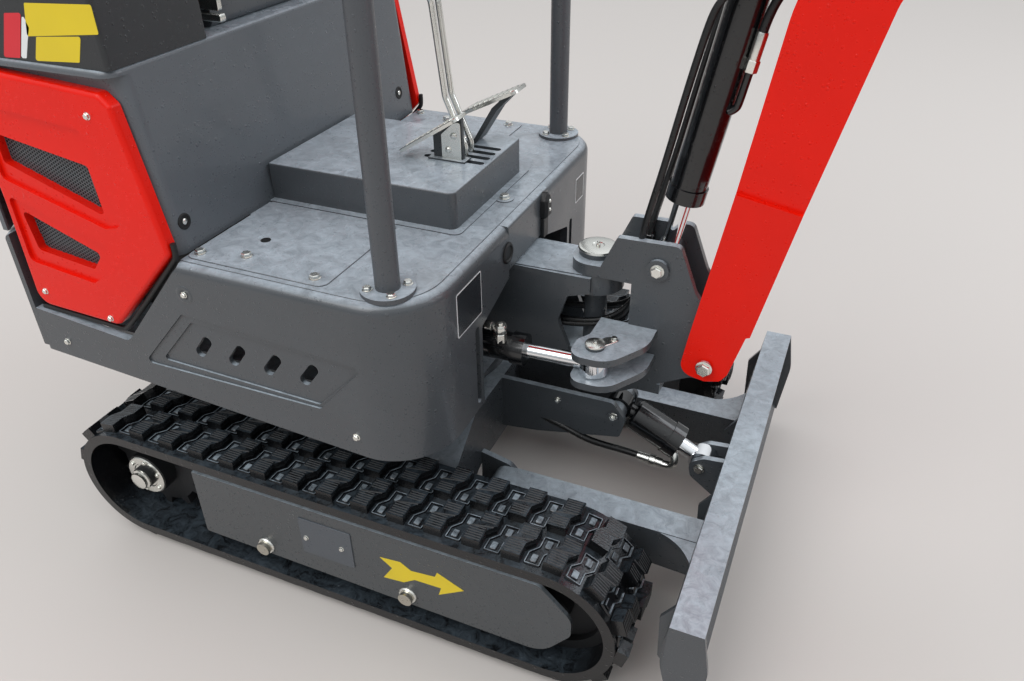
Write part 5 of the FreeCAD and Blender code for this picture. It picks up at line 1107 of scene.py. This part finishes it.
def swingHoses():
    radius = hoses["radius"]
    for k, (y, step) in enumerate(hoses["bundle"]):
        pinSide = hoses["besidePin"] if y > 0 else -hoses["besidePin"]
        between = (y + pinSide) / 2
        points = [(150, y, 480 + step), (250, y, 482 + step), (320, between, 486 + step),
                  (372, pinSide, 494 + step), (420, between, 508 + step), (446, y, 530 + 2 * step),
                  (458, y, 560), (474, y, 596), (476, y, 620), (468, y, 646), (462, y, 672)]
        piece = dressed("swingHose_%d" % k, "swing", flexed(points, radius, 4), "hose", ride=False)
        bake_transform(piece)
    shape = bmesh.new()
    x0, x1 = hoses["clampX"]
    for y0, y1 in hoses["clampHalves"]:
        clamp = rounded([(x0, y0), (x1, y0), (x1, y1), (x0, y1)], 5)
        slab(shape, clamp, (0, 0, hoses["clampZ"]), (1, 0, 0), (0, 1, 0), hoses["clampTall"], 2)
    dressed("hoseClamp", "swing", shape, "blackPaint")


def boomHoses():
    for k, (y, _) in enumerate(hoses["bundle"]):
        wide = hoses["outer"] if k in (0, 3) else hoses["inner"]
        wide = wide if y > 0 else -wide
        points = [(465, y, 668), (466, y, 690)] + [(x, wide, z) for x, z in hoses["climb"]]
        piece = dressed("boomHose_%d" % k, "boom", flexed(points, hoses["radius"], 4), "hose", ride=False)
        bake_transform(piece)


def boomPipes():
    for k, (y, back, reach) in enumerate(pipes["runs"]):
        points = [alongLine(boomFoot, boomLean, d, back) for d in pipes["lower"]]
        points += [alongLine(elbow, elbowLean, d, back - 6) for d in reach]
        places = [(x, y, z) for x, z in points]
        dressed("boomPipe_%d" % k, "boom", flexed(places, pipes["radius"], 3), "blackPaint")
    shape = bmesh.new()
    for d in pipes["clamps"]:
        x, z = alongLine(elbow, elbowLean, d, -70)
        for side in (-1, 1):
            turned(shape, (x, side * 30, z), (0, side, 0), [(9, 0), (9, 22), (7, 24), (0, 24)], 16)
    dressed("pipeClamps", "boom", shape, "blackPaint")
    shape = bmesh.new()
    lean = math.radians(boomLean)
    for y in pipes["nutSides"]:
        for d, radius in pipes["nuts"]:
            x, z = alongLine(boomFoot, boomLean, d, -64)
            turned(shape, (x, y, z), (math.sin(lean), 0, math.cos(lean)),
                   [(radius, 0), (radius, 10), (radius - 1.5, 12), (0, 12)], 6)
    dressed("pipeFittings", "boom", shape, "zinc")
    path = [alongLine(elbow, elbowLean, d, across) for d, across in ((470, -72), (600, -112), (700, -80))]
    path += [alongLine(armPivot, armLean, d, across) for d, across in ((40, -70), (110, -62))]
    for k, y in enumerate(pipes["hoseSides"]):
        places = [(x, y, z) for x, z in path]
        piece = dressed("armHose_%d" % k, "arm", flexed(places, pipes["hoseRadius"], 4), "hose", ride=False)
        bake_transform(piece)


swingHoses()
boomHoses()
boomPipes()


# Lines of the cylinders: pipe, ferrule and hose of the boom's, fittings and hoses of the swing's and the blade's

gland = {
    # stations along the boom's cylinder from its rod's eye, and distances in front of its line
    "side": -16.0, "pipe": ((286, 26), (294, 36), (306, 37), (330, 37), (360, 37)), "pipeRadius": 6.5,
    "nut": (354, 37), "ferrule": (372, 37), "hoseRadius": 7.5,
    "hose": ((408, 37), (430, 37), (460, 40), (490, 52), (510, 74), (532, 88)),
}
swingLine = {
    "port": (257.0, -178.0), "elbow": (266.0, -178.0, 541.0),
    "oil": ((232, -178, 541), (216, -178, 541), (196, -177, 543), (170, -170, 548), (140, -150, 556),
            (100, -120, 562)),
    "back": ((205, -178, 522), (150, -178, 530), (60, -176, 532), (0, -170, 540), (-60, -150, 560),
             (-90, -120, 570)),
    "oilRadius": 7.5, "backRadius": 6.5,
}
bladeLine = {
    "ferrule": (545.0, -30.0, 196.0), "elbowRadius": 8.0, "hoseRadius": 7.0, "backRadius": 6.0,
    "elbow": ((538, -31, 197), (556, -32, 195), (568, -33, 202), (570, -31, 216), (566, -24, 226)),
    "hose": ((495, -30, 202), (470, -31, 205), (430, -38, 212), (390, -52, 226), (345, -50, 242), (300, -44, 250),
             (240, -40, 258)),
    "back": ((420, 34, 262), (380, 52, 262), (330, 50, 262), (240, 40, 262)),
}


def boomCylinderLine():  # hard pipe from the gland, ferrule, then a hose up to the boom
    lean = math.atan2(99.6, 530.4)

    def spot(along, across):
        x, z = alongLine(rodFoot, math.degrees(lean), along, across)
        return (x, gland["side"], z)

    pipe = [spot(*station) for station in gland["pipe"]]
    dressed("glandPipe", "boom_barrel", flexed(pipe, gland["pipeRadius"], 3), "blackPaint")
    shape = bmesh.new()
    aim = (math.sin(lean), 0, math.cos(lean))
    turned(shape, spot(*gland["nut"]), aim, [(10.5, 0), (11, 1), (11, 18), (10, 19), (0, 19)], 6)
    turned(shape, spot(*gland["ferrule"]), aim, [(9, 0), (9.4, 2), (9.4, 40), (8.6, 43), (0, 43)], 20)
    dressed("glandFitting", "boom_barrel", shape, "zinc")
    hose = [spot(*station) for station in gland["hose"]]
    piece = dressed("glandHose", "boom", flexed(hose, gland["hoseRadius"], 4), "hose", ride=False)
    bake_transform(piece)


def swingCylinderLines():
    shape = bmesh.new()
    x, y = swingLine["port"]
    turned(shape, (x, y, 514), up, [(12, 0), (12, 16), (10, 18), (8, 18), (8, 22), (0, 22)], 6)
    turned(shape, (x, y, 533), up, [(12, 0), (13, 2), (13, 13), (11, 16), (5, 16), (5, 19), (0, 19.5)], 12)
    turned(shape, swingLine["elbow"], (-1, 0, 0),
           [(7, 0), (8, 2), (8, 24), (9.5, 25), (9.5, 36), (8, 38), (0, 38)], 12)
    dressed("swingFitting", "swing_barrel", shape, "zinc")
    mesh = flexed(swingLine["oil"], swingLine["oilRadius"], 4)
    piece = dressed("swingOilHose", "house", mesh, "hose", ride=False)
    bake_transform(piece)
    mesh = flexed(swingLine["back"], swingLine["backRadius"], 4)
    piece = dressed("swingReturnHose", "house", mesh, "hose", ride=False)
    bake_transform(piece)


def bladeCylinderLines():
    dressed("bladeElbow", "blade_barrel", flexed(bladeLine["elbow"], bladeLine["elbowRadius"], 3), "zinc")
    shape = bmesh.new()
    turned(shape, bladeLine["ferrule"], (-1, 0, 0.1),
           [(9.5, 0), (9.5, 14), (12, 15), (12, 26), (9.5, 28), (9.5, 52), (7, 54), (0, 54)], 12)
    dressed("bladeFitting", "blade_barrel", shape, "zinc")
    mesh = flexed(bladeLine["hose"], bladeLine["hoseRadius"], 4)
    piece = dressed("bladeHose", "undercarriage", mesh, "hose", ride=False)
    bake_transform(piece)
    mesh = flexed(bladeLine["back"], bladeLine["backRadius"], 4)
    piece = dressed("bladeReturnHose", "undercarriage", mesh, "hose", ride=False)
    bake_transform(piece)


def bladeBolts():
    rows = [((443, -54.6, 305), right, (1, 0, 0.3), 1.0), ((324, -50.6, 309), right, (1, 0, 0.2), 0.8)]
    repeated("bladeBaseBolts", "undercarriage", nutHead, mirrored(rows))
    repeated("bladeRodBolts", "blade", hexBolt, mirrored([((620, -30.8, 209), right, ahead, 1.25)]))
    rows = [((262, y, 165), (0, aim, 0), ahead, 1.5) for y, aim in ((-142, 1), (-238, -1))]
    repeated("bladePivotBolts", "undercarriage", hexBolt, mirrored(rows))


boomCylinderLine()
swingCylinderLines()
bladeCylinderLines()
bladeBolts()
print("hoses made")


# Welds along the boom's foot and behind the blade

welds = {
    "boom": ((618, 799), (671, 787), (719, 778)), "boomSide": 57.0, "boomRadius": 2.2,
    "blade": ((664, 118), (664, 165), (664, 200)), "bladeSides": (160, 220), "bladeRadius": 3.0,
}


def weldBeads():
    for side, word in ((-1, "right"), (1, "left")):
        places = [(x, side * welds["boomSide"], z) for x, z in welds["boom"]]
        # the boom's weld beads take the lighter red, a painted highlight
        dressed("boomWeld_" + word, "boom", flexed(places, welds["boomRadius"], 3), "weldHighlightRed")
    for side, word in ((-1, "right"), (1, "left")):
        for k, y in enumerate(welds["bladeSides"]):
            places = [(x, side * y, z) for x, z in welds["blade"]]
            dressed("bladeWeld_%s_%d" % (word, k), "blade", flexed(places, welds["bladeRadius"], 3), "charcoal")


# Rear door: a round lock above a finger grip, on the door's curve

door = {"radius": 750.0, "side": -330.0, "lockZ": 880.0, "gripZ": 820.0}


def doorLock():
    angle = math.atan2(door["side"], -math.sqrt(door["radius"] ** 2 - door["side"] ** 2))
    out = Vector((math.cos(angle), math.sin(angle), 0))
    base = out * (door["radius"] - 1)
    lock, grip = bmesh.new(), bmesh.new()
    turned(lock, (base.x, base.y, door["lockZ"]), out,
           [(19, 0), (19, 2.2), (17, 3.4), (9, 3.4), (8, 2.0), (0, 2.0)], 28)
    dressed("doorLock", "rear_door", lock, "zinc")
    turned(grip, (base.x, base.y, door["gripZ"]), out,
           [(24, 0), (24, 1.4), (22, 2.4), (18, 2.4), (15, 0.8), (0, 0.8)], 28)
    dressed("doorGrip", "rear_door", grip, "seal")


weldBeads()
doorLock()
print("welds and lock made")


# Floor, light and camera

def areaLight(name, where, target, wide, power, tint):
    lamp = bpy.data.lights.new(name, "AREA")
    lamp.shape = "SQUARE"
    lamp.size = wide
    lamp.energy = power
    lamp.color = colour(tint)[:3]
    light = bpy.data.objects.new(name, lamp)
    light.location = where
    light.rotation_euler = (Vector(target) - Vector(where)).to_track_quat("-Z", "Y").to_euler()
    scene.collection.objects.link(light)
    return light


stage = {
    "reach": 30.0, "floor": "#c9c3be", "sky": "#f2f5f8", "horizon": 0.35, "zenith": 1.15, "seen": 0.72,
    "lampWide": 4.0,
    "camera": (0.7916, -1.3442, 1.3599), "turn": (1.9843, -0.5833, -0.0130), "focal": 848.1 / 1024,
}


def studio():  # pale floor without an edge in view, an even pale sky and two large soft lamps
    reach, level = stage["reach"], lowest.z
    mesh = bpy.data.meshes.new("floor")
    corners = [(x, y, level) for x, y in ((-reach, -reach), (reach, -reach), (reach, reach), (-reach, reach))]
    mesh.from_pydata(corners, [], [(0, 1, 2, 3)])
    floor = bpy.data.objects.new("floor", mesh)
    scene.collection.objects.link(floor)
    material = bpy.data.materials.new("paleFloor")
    material.use_nodes = True
    shader = material.node_tree.nodes["Principled BSDF"]
    shader.inputs["Base Color"].default_value = colour(stage["floor"])
    shader.inputs["Roughness"].default_value = 0.6
    mesh.materials.append(material)
    world = bpy.data.worlds.new("sky")
    world.use_nodes = True
    scene.world = world
    tree = world.node_tree
    background = tree.nodes["Background"]
    direction = addNode(tree, "ShaderNodeTexCoord")
    upward = addNode(tree, "ShaderNodeSeparateXYZ", {"Vector": direction.outputs["Generated"]})
    rise = addNode(tree, "ShaderNodeMapRange", {
        "Value": upward.outputs["Z"], "From Min": 0.0, "From Max": 0.7,
        "To Min": stage["horizon"], "To Max": stage["zenith"],
    })
    seen = addNode(tree, "ShaderNodeLightPath")
    strength = addNode(tree, "ShaderNodeMix", {
        "Factor": seen.outputs["Is Camera Ray"], "A": rise.outputs["Result"], "B": stage["seen"],
    }, data_type="FLOAT")
    background.inputs["Color"].default_value = colour(stage["sky"])
    tree.links.new(strength.outputs["Result"], background.inputs["Strength"])
    areaLight("keyLight", (-1.5, -4.0, 5.5), (0, 0, 0.6), stage["lampWide"], 170.0, "#ffffff")
    areaLight("frontLight", (5.0, 2.0, 4.0), (0.3, 0, 0.6), stage["lampWide"], 120.0, "#f4f8ff")


def photoCamera():  # fitted to the photograph: place, yaw, pitch, roll and focal length
    place = Vector(stage["camera"])
    yaw, pitch, roll = stage["turn"]
    forward = Vector((math.cos(yaw) * math.cos(pitch), math.sin(yaw) * math.cos(pitch), math.sin(pitch)))
    level = Vector((math.sin(yaw), -math.cos(yaw), 0.0))
    rise = level.cross(forward)
    across = math.cos(roll) * level + math.sin(roll) * rise
    top = -math.sin(roll) * level + math.cos(roll) * rise
    data = bpy.data.cameras.new("camera")
    data.sensor_width = 36.0
    data.lens = stage["focal"] * data.sensor_width
    camera = bpy.data.objects.new("camera", data)
    camera.matrix_world = Matrix((
        (across.x, top.x, -forward.x, place.x),
        (across.y, top.y, -forward.y, place.y),
        (across.z, top.z, -forward.z, place.z),
        (0, 0, 0, 1),
    ))
    scene.collection.objects.link(camera)
    scene.camera = camera


studio()
photoCamera()
scene.view_settings.view_transform = "Standard"
print("stage set")
